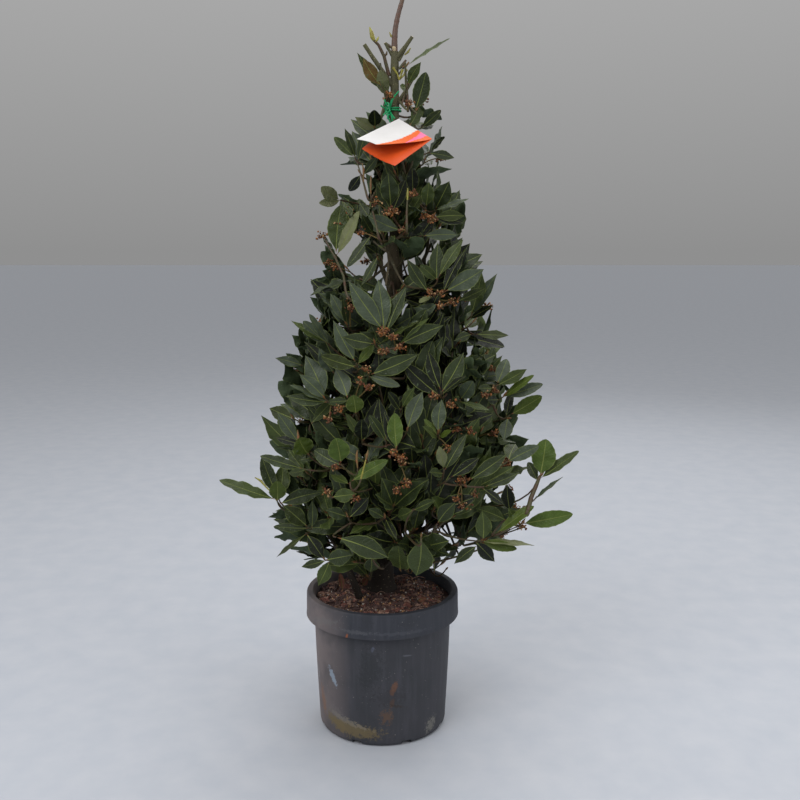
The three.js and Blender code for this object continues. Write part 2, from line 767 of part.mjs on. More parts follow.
// The limbs, the masses' own stems and the label are settled before any leaf, because every leaf
// keeps clear of them.
for (const mass of masses) {
  if (mass.tier.bough) {
    mass.path = boughPath(mass);
    mass.stemFoot = mass.path(1);
    addBalls(mass.path, (share) => lerp(sideStemRadius, boughTipRadius, share), 160, null);
  } else {
    mass.stemFoot = trunkPoint(mass.height - mass.tier.drop);
  }
  mass.stemTip = crownPoint(mass.turn, mass.height + 14, twigReach(mass.height));
  const stemAt = (share) => mass.stemFoot.clone().lerp(mass.stemTip, share);
  addBalls(stemAt, () => boughTipRadius, mass.stemFoot.distanceTo(mass.stemTip), mass);
}
addBalls(trunkAt, (share) => trunkRadius(trunkHeight(share)), trunkTop - trunkFoot, null);
for (const { height, to, radius } of stubs) {
  addBalls((share) => trunkPoint(height).lerp(vector(to), share), () => radius + 1, 60, null);
}
const fold = vector(labelRight).sub(vector(labelBack));
const panel = vector(labelLeft).sub(vector(labelBack));
for (let share = 0; share <= 1.001; share += 0.125) {
  const start = vector(labelBack).addScaledVector(fold, share);
  const panelAt = (reach) => start.clone().addScaledVector(panel, reach);
  addBalls(panelAt, (reach) => 5 + reach * 14, panel.length(), null);
}
addBalls(() => trunkPoint(tieHeight), () => trunkRadius(tieHeight) + tieRadius * 4, 4, null);

for (const mass of masses) {
  if (mass.tier.bough) {
    const name = mass.onSideStem ? 'side_stem' : `${mass.tier.name}_bough_${mass.number}`;
    add(name, makeBough(mass), materials.bark);
  }
}
for (const mass of masses) {
  add(`${mass.tier.name}_foliage_${mass.number}`, makeMass(mass), materials.foliage);
}

const label = add('swing_label', makeLabel(fold.length(), panel.length()), materials.label);
label.position.copy(vector(labelBack));
label.quaternion.copy(labelTurn(fold, panel));
add('label_tie', makeTie(), materials.tie);

export default plant;
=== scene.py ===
import math

import bpy
import numpy as np
from mathutils import Matrix, Vector, noise


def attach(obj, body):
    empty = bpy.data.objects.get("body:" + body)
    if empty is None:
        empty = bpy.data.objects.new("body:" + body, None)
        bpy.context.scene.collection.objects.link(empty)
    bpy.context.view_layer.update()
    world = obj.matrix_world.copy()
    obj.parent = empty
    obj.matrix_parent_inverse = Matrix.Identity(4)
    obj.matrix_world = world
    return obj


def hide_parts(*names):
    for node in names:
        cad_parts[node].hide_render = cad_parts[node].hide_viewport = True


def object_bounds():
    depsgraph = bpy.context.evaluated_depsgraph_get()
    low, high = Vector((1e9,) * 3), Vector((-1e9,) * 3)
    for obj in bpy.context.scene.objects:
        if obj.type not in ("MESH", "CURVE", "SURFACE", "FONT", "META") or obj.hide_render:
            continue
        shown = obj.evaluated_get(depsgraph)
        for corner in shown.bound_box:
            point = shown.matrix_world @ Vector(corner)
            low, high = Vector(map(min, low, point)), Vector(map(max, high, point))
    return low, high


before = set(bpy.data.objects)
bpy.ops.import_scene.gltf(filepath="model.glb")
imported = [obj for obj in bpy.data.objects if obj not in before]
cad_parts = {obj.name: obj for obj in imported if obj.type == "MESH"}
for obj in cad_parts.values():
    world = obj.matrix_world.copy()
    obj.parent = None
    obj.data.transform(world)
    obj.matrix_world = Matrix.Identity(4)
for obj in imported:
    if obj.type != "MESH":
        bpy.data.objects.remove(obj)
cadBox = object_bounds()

# A clipped bay pyramid in a plastic nursery container. The growth is worked out in millimetres,
# by the same rule as the solids', and turned to metres when a mesh is made.
mm = 0.001
up = Vector((0, 0, 1))
print("frame loaded")


# Small tools

def lerp(low, high, share):
    return low + (high - low) * share


def valueAt(rows, height, column=1):
    return float(np.interp(height, [row[0] for row in rows], [row[column] for row in rows]))


def limited(value, low=0, high=1):
    return min(max(value, low), high)


def spread(path, steps):  # evenly spaced places along a path
    return [path(step / steps) for step in range(steps + 1)]


def tapered(first, last, steps):
    return [lerp(first, last, step / steps) for step in range(steps + 1)]


def seeded(seed):  # a repeatable source of numbers from 0 to 1
    state = [seed * 2654435761 % 2 ** 32]

    def draw():
        state[0] = (state[0] * 1664525 + 1013904223) % 2 ** 32
        return state[0] / 2 ** 32
    return draw


def bent(start, towards, end):  # a path from one point to another that is drawn towards a third
    return lambda share: start.lerp(towards, share).lerp(towards.lerp(end, share), share)


def deselectAll():
    if bpy.context.mode != "OBJECT":
        bpy.ops.object.mode_set(mode="OBJECT")
    bpy.ops.object.select_all(action="DESELECT")


def selectOnly(piece):
    deselectAll()
    piece.select_set(True)
    bpy.context.view_layer.objects.active = piece


def joinInto(piece, others):
    selectOnly(piece)
    for other in others:
        other.select_set(True)
    bpy.ops.object.join()
    return piece


def applyModifiers(piece):
    selectOnly(piece)
    for modifier in list(piece.modifiers):
        bpy.ops.object.modifier_apply(modifier=modifier.name)


def finishPiece(piece, name, slot, *nodes):
    selectOnly(piece)
    bpy.ops.object.transform_apply(location=True, rotation=True, scale=True)
    piece.name = name
    piece.data.name = name
    if nodes:
        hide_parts(*nodes)
    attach(piece, "root")
    print("made", name, len(piece.data.polygons), "faces")


# Materials

def toLinear(colour):
    channels = [int(colour[i:i + 2], 16) / 255 for i in (1, 3, 5)]
    return tuple(c / 12.92 if c <= 0.04045 else ((c + 0.055) / 1.055) ** 2.4 for c in channels) + (1,)


def newFinish(name, colour, roughness, ior=1.45, specular=0.5):
    finish = bpy.data.materials.new(name)
    finish.use_nodes = True
    shader = finish.node_tree.nodes["Principled BSDF"]
    shader.inputs["Base Color"].default_value = toLinear(colour)
    shader.inputs["Roughness"].default_value = roughness
    shader.inputs["IOR"].default_value = ior
    shader.inputs["Specular IOR Level"].default_value = specular
    return finish


def addNode(finish, kind, values, output=0):
    # values holds the node's settings and, for its inputs, numbers, colours or links
    node = finish.node_tree.nodes.new("ShaderNode" + kind)
    for name, value in values.items():
        if not isinstance(name, int) and name not in node.inputs:
            setattr(node, name, value)
        elif isinstance(value, bpy.types.NodeSocket):
            finish.node_tree.links.new(value, node.inputs[name])
        else:
            node.inputs[name].default_value = toLinear(value) if isinstance(value, str) else value
    return node.outputs[output]


def link(finish, source, socket):
    finish.node_tree.links.new(source, finish.node_tree.nodes["Principled BSDF"].inputs[socket])


def clouds(finish, size, detail=3, roughness=0.55, stretch=1):
    # a pattern on the piece's own place with blotches of this size in millimetres; a stretch below 1
    # draws them out upwards
    place = addNode(finish, "TexCoord", {}, "Object")
    if stretch != 1:
        place = addNode(finish, "Mapping", {"Vector": place, "Scale": (1, 1, stretch)})
    return addNode(finish, "TexNoise", {
        "Vector": place, "Scale": 1 / (size * mm), "Detail": detail, "Roughness": roughness})


def covered(finish, under, over, pattern, low, high, most=1.0):
    # one colour gives way to another where the pattern rises from low to high, up to a share of it
    share = addNode(finish, "MapRange", {"Value": pattern, "From Min": low, "From Max": high, "To Max": most})
    return addNode(finish, "Mix", {"data_type": "RGBA", 0: share, 6: under, 7: over}, 2)


def flecked(name, colours, roughness, size, low, high, detail=2, depth=0, specular=0.5):
    # a finish of two colours in flecks of this size in millimetres, which stand out by a depth
    finish = newFinish(name, colours[0], roughness, specular=specular)
    fleck = clouds(finish, size, detail)
    link(finish, covered(finish, *colours, fleck, low, high), "Base Color")
    if depth:
        link(finish, addNode(finish, "Bump", {"Height": fleck, "Distance": depth * mm}), "Normal")
    return finish


# Camera, at the photograph's viewpoint, worked out from the container's ellipses

camera = {
    "place": (28, -1431, 747.6),
    "pitch": 9.03,  # degrees below the level
    "focalPixels": 938,
    "imagePixels": 800,
    "sensor": 36,
}
cameraData = bpy.data.cameras.new("camera")
cameraData.sensor_width = camera["sensor"]
cameraData.lens = camera["focalPixels"] / camera["imagePixels"] * camera["sensor"]
cameraData.clip_end = 50
cameraObject = bpy.data.objects.new("camera", cameraData)
bpy.context.scene.collection.objects.link(cameraObject)
cameraObject.location = Vector(camera["place"]) * mm
cameraObject.rotation_euler = (math.radians(90 - camera["pitch"]), 0, 0)
bpy.context.scene.camera = cameraObject


def sightLine(pixel):  # the direction that the camera sees at a pixel of the photograph
    middle = camera["imagePixels"] / 2
    across = (pixel[0] - middle) / camera["focalPixels"]
    down = (pixel[1] - middle) / camera["focalPixels"]
    pitch = math.radians(camera["pitch"])
    ahead = Vector((0, math.cos(pitch), -math.sin(pitch)))
    above = Vector((0, math.sin(pitch), math.cos(pitch)))
    return (Vector((1, 0, 0)) * across + ahead - above * down).normalized()


# Container

pot = {
    "height": 218, "lipRadius": 120, "skirtRadius": 121, "skirtDepth": 38, "wallTopRadius": 109.3,
    "footRadius": 101, "wall": 2.2, "footCorner": 7, "lipRound": 1.4, "lipWidth": 9.5,
    "lipSlope": 5, "sides": 128, "notches": 8, "notchWidth": 15, "notchHeight": 4.5,
    "edgeRound": 0.7, "markDepth": 30, "belly": 0.8, "skirtFlare": (0.5, 6), "lipFoot": 3,
    "sightFrom": 1250, "sightTo": 1650,  # how far from the camera its wall is looked for
}


def turnedUp(profile, sides):  # rings of [radius, height] in millimetres, each extruded from the last
    deselectAll()
    radius, height = profile[0]
    bpy.ops.mesh.primitive_circle_add(
        vertices=sides, radius=radius * mm, fill_type="NGON", location=(0, 0, height * mm))
    bpy.ops.object.mode_set(mode="EDIT")
    bpy.ops.mesh.select_all(action="SELECT")
    for nextRadius, nextHeight in profile[1:]:
        rise = (0, 0, (nextHeight - height) * mm)
        bpy.ops.mesh.extrude_region_move(TRANSFORM_OT_translate={"value": rise})
        grow = nextRadius / radius
        bpy.ops.transform.resize(value=(grow, grow, 1), center_override=(0, 0, nextHeight * mm))
        radius, height = nextRadius, nextHeight
    bpy.ops.mesh.select_all(action="SELECT")
    bpy.ops.mesh.remove_doubles(threshold=0.00001)
    bpy.ops.mesh.normals_make_consistent(inside=False)
    bpy.ops.object.mode_set(mode="OBJECT")
    return bpy.context.object


def onPot(pixel):  # where the camera sees the container's wall or band
    ray, start = sightLine(pixel), Vector(camera["place"])
    for away in range(pot["sightFrom"], pot["sightTo"]):
        place = start + ray * away
        radius = lerp(pot["footRadius"], pot["wallTopRadius"], limited(place.z / pot["height"]))
        if place.z > pot["height"] - pot["skirtDepth"]:
            radius = pot["skirtRadius"]
        if math.hypot(place.x, place.y) < radius:
            return place
    return Vector((0, -pot["footRadius"], 0))


# marks on the container: the pixel of the middle in the photograph, half sizes in millimetres along the
# wall and up it, lean in degrees, how ragged the outline is, how thick the mark lies, and its colour
potMarks = [
    ((333, 676), (5.2, 16), -30, 1.6, 0.85, "#8a97a6"),
    ((319.5, 672), (3.6, 14), -6, 1.8, 0.55, "#85868c"),
    ((394, 688), (4.4, 12), 16, 1.6, 0.8, "#6a4a38"),
    ((392, 703), (3.4, 9), 12, 1.8, 0.6, "#5a4031"),
    ((397, 706), (14, 2.2), 10, 2.9, 0.5, "#33291f"),
    ((387, 717), (9, 10), 20, 2.6, 0.6, "#614834"),
    ((346.7, 636.5), (1.7, 5), 18, 1.6, 0.9, "#8f5131"),
    ((324, 699), (7, 24), -8, 2.2, 0.6, "#835f48"),
    ((337, 713), (10, 18), -52, 2.6, 0.4, "#6e6969"),
    ((337, 723), (24, 9), 24, 1.7, 0.7, "#6c5f42"),
    ((352, 729), (48, 12), 4, 1.7, 0.8, "#6c5f42"),
    ((346, 720), (36, 4.5), 12, 2.2, 0.5, "#7c776e"),
    ((430.5, 724), (9, 13), 24, 2.6, 0.5, "#87857d"),
    ((407, 655.5), (8, 1.3), 5, 0.9, 0.7, "#5b5d65"),
    ((373, 649), (2.4, 6), 20, 2.2, 0.7, "#5f6475"),
    ((322, 621), (30, 5), -12, 2.9, 0.4, "#666667"),
    ((352, 632), (30, 3), 0, 3.0, 0.35, "#5c5e63"),
    ((398, 634), (52, 2.4), 0, 3.0, 0.25, "#54575f"),
    ((371, 668), (15, 34), 10, 2.8, 0.4, "#24272a"),
    ((391, 697), (24, 13), 0, 2.8, 0.3, "#232426"),
    ((366, 621), (9, 15), 0, 2.8, 0.35, "#26292e"),
    ((409, 622), (13, 13), 0, 2.8, 0.35, "#26292e"),
]


def makePotFinish():
    # blow-moulded polypropylene: black gone grey with dust and sun, dull, with water marks, soil and
    # a few scuffs of paint
    finish = newFinish("dusty polypropylene", "#33333a", 0.5, ior=1.49, specular=0.4)
    place = addNode(finish, "TexCoord", {}, "Object")
    side, height = (addNode(finish, "SeparateXYZ", {0: place}, axis) for axis in ("X", "Z"))
    dust = clouds(finish, 52, 5)
    colour = covered(finish, "#323439", "#3d3d43", dust, 0.36, 0.68)
    colour = covered(finish, colour, "#2f323a", height, 0.178, 0.184)  # the band is a little bluer
    colour = covered(finish, colour, "#4c4c54", clouds(finish, 9, 4, stretch=0.1), 0.45, 1.3)
    # the side that stood towards the weather has a warm film of dust
    film = addNode(finish, "MapRange", {"Value": dust, "From Min": 0.2, "From Max": 0.6})
    colour = covered(finish, colour, "#776d6c", side, -0.045, -0.1, film)
    colour = covered(finish, colour, "#7b7a77", clouds(finish, 2.6, 1), 0.74, 0.79)
    ragged = clouds(finish, 5, 6, 0.75)
    for pixel, (across, above), lean, tear, strength, tone in potMarks:
        middle = onPot(pixel)
        turn = math.atan2(middle.y, middle.x) + math.pi / 2
        centred = addNode(finish, "Mapping", {
            "vector_type": "TEXTURE", "Vector": place, "Location": middle * mm, "Rotation": (0, 0, turn)})
        leaned = addNode(finish, "Mapping", {
            "vector_type": "TEXTURE", "Vector": centred, "Rotation": (0, math.radians(lean), 0),
            "Scale": (across * mm, pot["markDepth"] * mm, above * mm)})
        reach = addNode(finish, "VectorMath", {"operation": "LENGTH", 0: leaned}, "Value")
        torn = addNode(finish, "Math", {"operation": "MULTIPLY_ADD", 0: ragged, 1: tear * 2, 2: reach})
        colour = covered(finish, colour, tone, torn, 1 + tear + 0.12, 1 + tear - 0.3, strength)
    link(finish, colour, "Base Color")
    link(finish, addNode(finish, "MapRange", {
        "Value": dust, "From Min": 0.3, "From Max": 0.8, "To Min": 0.58, "To Max": 0.8}), "Roughness")
    grain = clouds(finish, 2.2, 2)
    link(finish, addNode(finish, "Bump", {"Height": grain, "Distance": 0.12 * mm}), "Normal")
    return finish


def makePot():
    wall, corner = pot["wall"], pot["footCorner"]
    skirtFoot = pot["height"] - pot["skirtDepth"]
    inner = pot["footRadius"] - wall
    profile = [[pot["footRadius"] - corner, 0]]
    for step in range(1, 5):
        angle = math.pi / 2 * step / 4
        profile.append([
            pot["footRadius"] - corner + corner * math.sin(angle), corner * (1 - math.cos(angle))])
    for step in range(1, 9):  # the wall bellies by a hair between its foot and its top
        share = step / 8
        belly = pot["belly"] * math.sin(math.pi * share)
        profile.append([
            lerp(pot["footRadius"], pot["wallTopRadius"], share) + belly,
            lerp(corner, pot["height"] - wall, share)])
    profile += [
        [pot["lipRadius"] - wall, pot["height"] - wall],
        [pot["skirtRadius"] - wall, skirtFoot],
        [pot["skirtRadius"], skirtFoot],
        [pot["skirtRadius"] - pot["skirtFlare"][0], skirtFoot + pot["skirtFlare"][1]],
        [pot["lipRadius"], pot["height"] - pot["lipFoot"]],
        [pot["lipRadius"] - pot["lipRound"], pot["height"]],
        [pot["lipRadius"] - pot["lipWidth"], pot["height"]],
        [pot["wallTopRadius"] - wall, pot["height"] - pot["lipSlope"]],
        [inner, wall + corner],
        [inner - corner * 0.3, wall + corner * 0.3],
        [inner - corner, wall],
    ]
    shell = turnedUp(profile, pot["sides"])
    cutters = []
    for i in range(pot["notches"]):
        turn = (i + 0.5) / pot["notches"] * 2 * math.pi
        spot = Vector((math.cos(turn), math.sin(turn), 0)) * pot["footRadius"] * mm
        deselectAll()
        bpy.ops.mesh.primitive_cube_add(size=1, location=spot, rotation=(0, 0, turn))
        cutter = bpy.context.object
        cutter.scale = (corner * 3 * mm, pot["notchWidth"] * mm, pot["notchHeight"] * 3 * mm)
        cutters.append(cutter)
    cutter = joinInto(cutters[0], cutters[1:])
    carve = shell.modifiers.new("notches", "BOOLEAN")
    carve.object = cutter
    carve.operation = "DIFFERENCE"
    carve.solver = "EXACT"
    applyModifiers(shell)
    bpy.data.objects.remove(cutter)
    rounding = shell.modifiers.new("rounding", "BEVEL")
    rounding.width = pot["edgeRound"] * mm
    rounding.segments = 2
    rounding.limit_method = "ANGLE"
    rounding.angle_limit = math.radians(32)
    applyModifiers(shell)
    bpy.ops.object.shade_smooth_by_angle(angle=math.radians(35))
    shell.data.materials.append(makePotFinish())
    finishPiece(shell, "container", "pot", "pot")


makePot()


# Joined meshes from arrays, for what repeats hundreds of times

class Heap:  # gathers corners and faces in millimetres, with a finish number for each face
    def __init__(self):
        self.places, self.faces, self.finishes, self.plans, self.count = [], [], [], [], 0

    def add(self, places, faces, finishes, plan=None):
        self.places.append(places)
        if plan is not None:
            self.plans.append(plan)
        self.faces += [tuple(corner + self.count for corner in face) for face in faces]
        self.finishes += finishes
        self.count += len(places)

    def toPiece(self, name, materials, smoothAngle=50):
        mesh = bpy.data.meshes.new(name)
        mesh.from_pydata((np.concatenate(self.places) * mm).tolist(), [], self.faces)
        mesh.update()
        for material in materials:
            mesh.materials.append(material)
        mesh.polygons.foreach_set("material_index", self.finishes)
        if self.plans:  # how far along and across its leaf each corner lies
            plan = mesh.attributes.new("leafPlan", "FLOAT_VECTOR", "POINT")
            plan.data.foreach_set("vector", np.concatenate(self.plans).ravel())
        piece = bpy.data.objects.new(name, mesh)
        bpy.context.scene.collection.objects.link(piece)
        selectOnly(piece)
        bpy.ops.object.shade_smooth_by_angle(angle=math.radians(smoothAngle))
        return piece


def tubeInto(heap, points, radii, sides, finish):
    places, across = [], None
    for i, point in enumerate(points):
        along = (points[min(i + 1, len(points) - 1)] - points[max(i - 1, 0)]).normalized()
        across = along.orthogonal() if across is None else across - along * across.dot(along)
        across.normalize()
        second = along.cross(across)
        for side in range(sides):
            turn = side / sides * 2 * math.pi
            places.append(point + (across * math.cos(turn) + second * math.sin(turn)) * radii[i])
    faces = [tuple(reversed(range(sides)))]
    for ring in range(len(points) - 1):
        low = ring * sides
        for side in range(sides):
            following = (side + 1) % sides
            faces.append((low + side, low + following, low + sides + following, low + sides + side))
    last = (len(points) - 1) * sides
    faces.append(tuple(range(last, last + sides)))
    heap.add(np.array([tuple(place) for place in places]), faces, [finish] * len(faces))


def lumpTemplate():  # a ball of twenty faces, to be squeezed and turned into chips, grains and buds
    deselectAll()
    bpy.ops.mesh.primitive_ico_sphere_add(subdivisions=1, radius=1)
    ball = bpy.context.object
    places = np.array([tuple(vertex.co) for vertex in ball.data.vertices])
    faces = [tuple(face.vertices) for face in ball.data.polygons]
    bpy.data.objects.remove(ball)
    return places, faces


lumpPlaces, lumpFaces = lumpTemplate()


def lumpInto(heap, middle, size, draw, finish, rough=0.25):
    bend = 1 + (np.array([draw() for _ in range(len(lumpPlaces))]) - 0.5)[:, None] * 2 * rough
    turn = Matrix.Rotation(draw() * 2 * math.pi, 3, "Z") @ Matrix.Rotation(draw() * math.pi, 3, "X")
    places = (lumpPlaces * bend * np.array(size)) @ np.array(turn).T + np.array(middle)
    heap.add(places, lumpFaces, [finish] * len(lumpFaces))


# Compost

compost = {
    "edge": 201, "top": 209, "flat": 60, "shoulder": 0.84, "shoulderHeight": 0.45, "gap": 0.3,
    "rings": 30, "sides": 96, "clods": 5.5, "clodSize": 13, "sink": 0.6,
    "trunkFoot": (-2, 22), "stemFoot": (-36, -21), "flatRound": 22, "flatFade": 14,
    "belowRim": 3,  # nothing rises nearer to the container's rim
}
compostSide = pot["wall"] + compost["gap"]
compostEdge = lerp(pot["footRadius"], pot["wallTopRadius"], compost["edge"] / pot["height"]) - compostSide


def compostHeight(reach):
    shoulder = lerp(compost["edge"], compost["top"], compost["shoulderHeight"])
    return valueAt([
        [0, compost["top"]], [compost["flat"], compost["top"]],
        [compostEdge * compost["shoulder"], shoulder], [compostEdge, compost["edge"]]], reach)


def fromFoot(x, y, foot):
    return math.hypot(x - compost[foot][0], y - compost[foot][1])


def clodLift(x, y):  # the lumps of the compost's top, none right under the stems
    lift = noise.fractal(Vector((x, y, 0)) / compost["clodSize"], 1.0, 2.1, 4) * compost["clods"]
    away = (fromFoot(x, y, "trunkFoot") - compost["flatRound"]) / compost["flatFade"]
    return lift * limited(away) - compost["sink"]


def makeCompost():
    inner = pot["footRadius"] - compostSide
    profile = [[inner - pot["footCorner"], compostSide], [inner, pot["wall"] + pot["footCorner"]],
               [compostEdge, compost["edge"]]]
    for ring in range(1, compost["rings"]):
        reach = compostEdge * (1 - ring / compost["rings"])
        profile.append([reach, compostHeight(reach)])
    block = turnedUp(profile, compost["sides"])
    for vertex in block.data.vertices:
        x, y, z = vertex.co / mm
        if z > compost["edge"] - 1 and math.hypot(x, y) < compostEdge - 1:
            vertex.co.z += min(clodLift(x, y), pot["height"] - compost["belowRim"] - z) * mm
    selectOnly(block)
    bpy.ops.object.shade_smooth()
    # peat and composted bark: dark, moist and crumbly, with pale dry crumbs
    finish = newFinish("peat and composted bark", "#2b1b14", 0.92)
    crumb = clouds(finish, 4, 5, 0.7)
    colour = covered(finish, "#4d3b3c", "#93766a", crumb, 0.35, 0.72)
    colour = covered(finish, colour, "#4a3834", clouds(finish, 24), 0.5, 0.75)
    link(finish, colour, "Base Color")
    link(finish, addNode(finish, "Bump", {"Height": crumb, "Distance": 1.6 * mm}), "Normal")
    block.data.materials.append(finish)
    finishPiece(block, "compost_bed", "compost", "compost")


crumbs = {  # sizes in millimetres: the least, and how much more by chance
    "chips": 900, "chipLength": (3, 6.5), "chipWidth": (0.35, 0.3), "chipHeight": (0.9, 1.2), "dark": 0.6,
    "grains": 760, "grainSize": (0.7, 0.9), "ochre": 0.62, "grainRough": 0.15,
    "fibres": 60, "fibreReach": (7, 9), "fibreRise": (5, 4), "fibreRadius": 0.5,
    "trunkClear": 30, "stemClear": 9, "wallClear": 5, "lift": 0.6,
}


def makeCrumbs():  # chips, grains and fibres on the compost's top
    draw = seeded(77)
    heap = Heap()

    def sized(name, share):
        least, more = crumbs[name]
        return least + more * share

    def spotOnTop():
        while True:
            turn = draw() * 2 * math.pi
            reach = (compostEdge - crumbs["wallClear"]) * math.sqrt(draw())
            x, y = reach * math.cos(turn), reach * math.sin(turn)
            if (fromFoot(x, y, "trunkFoot") > crumbs["trunkClear"]
                    and fromFoot(x, y, "stemFoot") > crumbs["stemClear"]):
                return x, y, compostHeight(reach) + clodLift(x, y)
    for i in range(crumbs["chips"]):
        x, y, z = spotOnTop()
        long = sized("chipLength", draw() ** 2)
        size = (long, long * sized("chipWidth", draw()), sized("chipHeight", draw()))
        finish = 0 if draw() < crumbs["dark"] else 1 if draw() < crumbs["dark"] else 2
        z = min(z + crumbs["lift"], pot["height"] - compost["belowRim"])
        lumpInto(heap, (x, y, z), size, draw, finish)
    for i in range(crumbs["grains"]):
        x, y, z = spotOnTop()
        size = sized("grainSize", draw())
        finish = 3 if draw() < crumbs["ochre"] else 4
        lumpInto(heap, (x, y, z + size * 0.5), (size, size, size), draw, finish, crumbs["grainRough"])
    for i in range(crumbs["fibres"]):
        middle = Vector(spotOnTop())
        turn = draw() * 2 * math.pi
        reach = Vector((math.cos(turn), math.sin(turn), 0)) * sized("fibreReach", draw())
        ends = middle - reach, middle + reach
        if any(math.hypot(end.x, end.y) > compostEdge - 4 for end in ends):
            continue
        rise = up * sized("fibreRise", draw()) + reach.cross(up) * 0.3
        path = bent(ends[0], middle + rise, ends[1])
        tubeInto(heap, spread(path, 5), [crumbs["fibreRadius"]] * 6, 4, 2)
    finishes = [
        ("dark bark chip", "#5c4744"), ("red-brown bark chip", "#98655a"), ("dry bark chip", "#bd9784"),
        ("ochre feed grain", "#dcab78"), ("pale grit", "#e6dfd3"),
    ]
    materials = [  # dry crumbs with a torn, rough face
        flecked(name, (colour, "#2e1d18"), 0.9, 1.8, 0.3, 0.75, 3, 0.3) for name, colour in finishes]
    chips = heap.toPiece("bark_chips", materials, 25)
    finishPiece(chips, "bark_chips", "compost")


makeCompost()
makeCrumbs()


# Trunk and limbs

trunk = {
    "foot": 209.3, "top": 1037,
    "line": [[209.3, -2, 22], [400, 6, 20], [560, 16, 17], [720, 22, 14], [870, 20, 12], [1037, 20, 12]],
    "radii": [[209.3, 18.5], [350, 15.5], [560, 12.5], [720, 10.5], [870, 8.4], [1037, 6.6]],
    "flare": 7, "flareHeight": 14, "sides": 40, "rings": 240, "thinner": 0.15, "kinkRound": 30,
    "lowRings": 1.2,  # above 1 the rings lie closer together near the foot
    "collarAt": 0.12, "collarSpread": 110, "collarSwell": 2.2,
    "stubs": [
        {"height": 1025, "to": (46, 2, 1056), "radius": 2.6},
        {"height": 1027, "to": (6, 4, 1048), "radius": 1.9},
        {"height": 985, "to": (-24, -4, 1044), "radius": 2.8},
    ],
}
leader = {
    "tip": (36, 14, 1166), "radius": 5.0, "tipRadius": 2.1, "bow": 2, "sway": 3.4,
    "budHeight": 16, "budRadius": 2.5, "budSunk": 5, "knuckles": 6, "knuckleRise": 0.35,
}
sideStem = {"foot": (-36, -21, 209.3), "tip": (-74, -40, 306), "radius": 6.2}


def trunkPoint(height):
    return Vector((valueAt(trunk["line"], height), valueAt(trunk["line"], height, 2), height))


def trunkRadius(height):
    flare = math.exp(min(trunk["foot"] - height, 0) / trunk["flareHeight"])
    return valueAt(trunk["radii"], height) + trunk["flare"] * flare


# Crown and masses, by the source's rule

crown = {
    "axis": (24, 10), "floor": pot["height"] + 4, "massSpread": 0.58, "turnSway": 8, "heightSway": 20,
    "sightRange": (1080, 1890, 1.5),  # how far from the camera the crown is looked for, and in what steps
    "outline": [
        [222, 96], [296, 186], [361, 210], [426, 203], [489, 190], [552, 178], [614, 156], [674, 134],
        [735, 120], [794, 106], [852, 96], [910, 76], [967, 60], [1040, 56], [1072, 30],
    ],
}
tiers = [
    {"name": "skirt", "height": 335, "masses": 5, "turn": 206, "drop": 84, "bough": 6.4, "lift": 0.1},
    {"name": "belt", "height": 478, "masses": 5, "turn": 242, "drop": 84, "bough": 5.8, "lift": 0.2},
    {"name": "waist", "height": 618, "masses": 4, "turn": 205, "drop": 84, "bough": 5, "lift": 0.3},
    {"name": "shoulder", "height": 750, "masses": 3, "turn": 250, "drop": 84, "bough": 4.6, "lift": 0.4},
    {"name": "neck", "height": 872, "masses": 3, "turn": 190, "drop": 50, "bough": 0, "lift": 0.6},
    {"name": "crown", "height": 990, "masses": 2, "turn": 170, "drop": 30, "bough": 0, "lift": 1.1},
]
boughs = {
    "reach": 0.5, "tipRadius": 3.8, "tipDrop": 24, "rise": 12, "sides": 16, "rings": 34,
    "collar": 1.8, "collarFade": 0.16,
}
growth = {
    "leafInset": 64, "leastReach": 0.45, "columns": 3, "rows": 2, "rowStep": 74, "rowDrop": 12,
    "columnSpread": 1.5, "twigSway": 0.3, "firstTwig": 0.22, "lastTwig": 0.82, "shortestTwig": 16,
    "stemSteps": 9, "stemRadii": (3.7, 1.9), "stemSag": 0.06, "stemLift": 14,
    "twigSteps": 6, "twigRadii": (2.3, 1.4), "twigSag": 0.08, "twigGap": 2.5, "shootRadii": (1.75, 1.05),
    "goldenTurn": math.radians(137.5),
}


def crownRadius(height):
    return valueAt(crown["outline"], height)


def crownPoint(turn, height, reach):
    x, y = crown["axis"]
    return Vector((x + math.cos(turn) * reach, y + math.sin(turn) * reach, height))


def twigReach(height):
    radius = crownRadius(height)
    return max(radius - growth["leafInset"], radius * growth["leastReach"], growth["shortestTwig"])


def planMasses():
    planned = []
    for level, tier in enumerate(tiers):
        for i in range(tier["masses"]):
            seed = level * 10 + i + 1
            draw = seeded(seed)
            turn = math.radians(tier["turn"] + i * 360 / tier["masses"] + (draw() - 0.5) * crown["turnSway"])
            height = tier["height"] + (draw() - 0.5) * crown["heightSway"]
            planned.append({
                "tier": tier, "seed": seed, "turn": turn, "height": height, "number": i + 1,
                "middle": crownPoint(turn, height, crownRadius(height) * crown["massSpread"]),
            })
    return planned


masses = planMasses()
massMiddles = np.array([tuple(mass["middle"]) for mass in masses])


def nearestMass(point):
    return masses[int(np.argmin(((massMiddles - np.array(point)) ** 2).sum(1)))]


def boughPath(mass):  # it leaves the trunk steeply and then levels out
    if mass is masses[0]:
        foot, tip = Vector(sideStem["foot"]), Vector(sideStem["tip"])
        return bent(foot, foot.lerp(tip, 0.5) + Vector((5, 2, 0)), tip)
    foot = trunkPoint(mass["height"] - mass["tier"]["drop"])
    reach = crownRadius(mass["height"]) * crown["massSpread"] * boughs["reach"]
    tip = crownPoint(mass["turn"], mass["height"] - boughs["tipDrop"], reach)
    return bent(foot, foot.lerp(tip, 0.5) + up * boughs["rise"], tip)


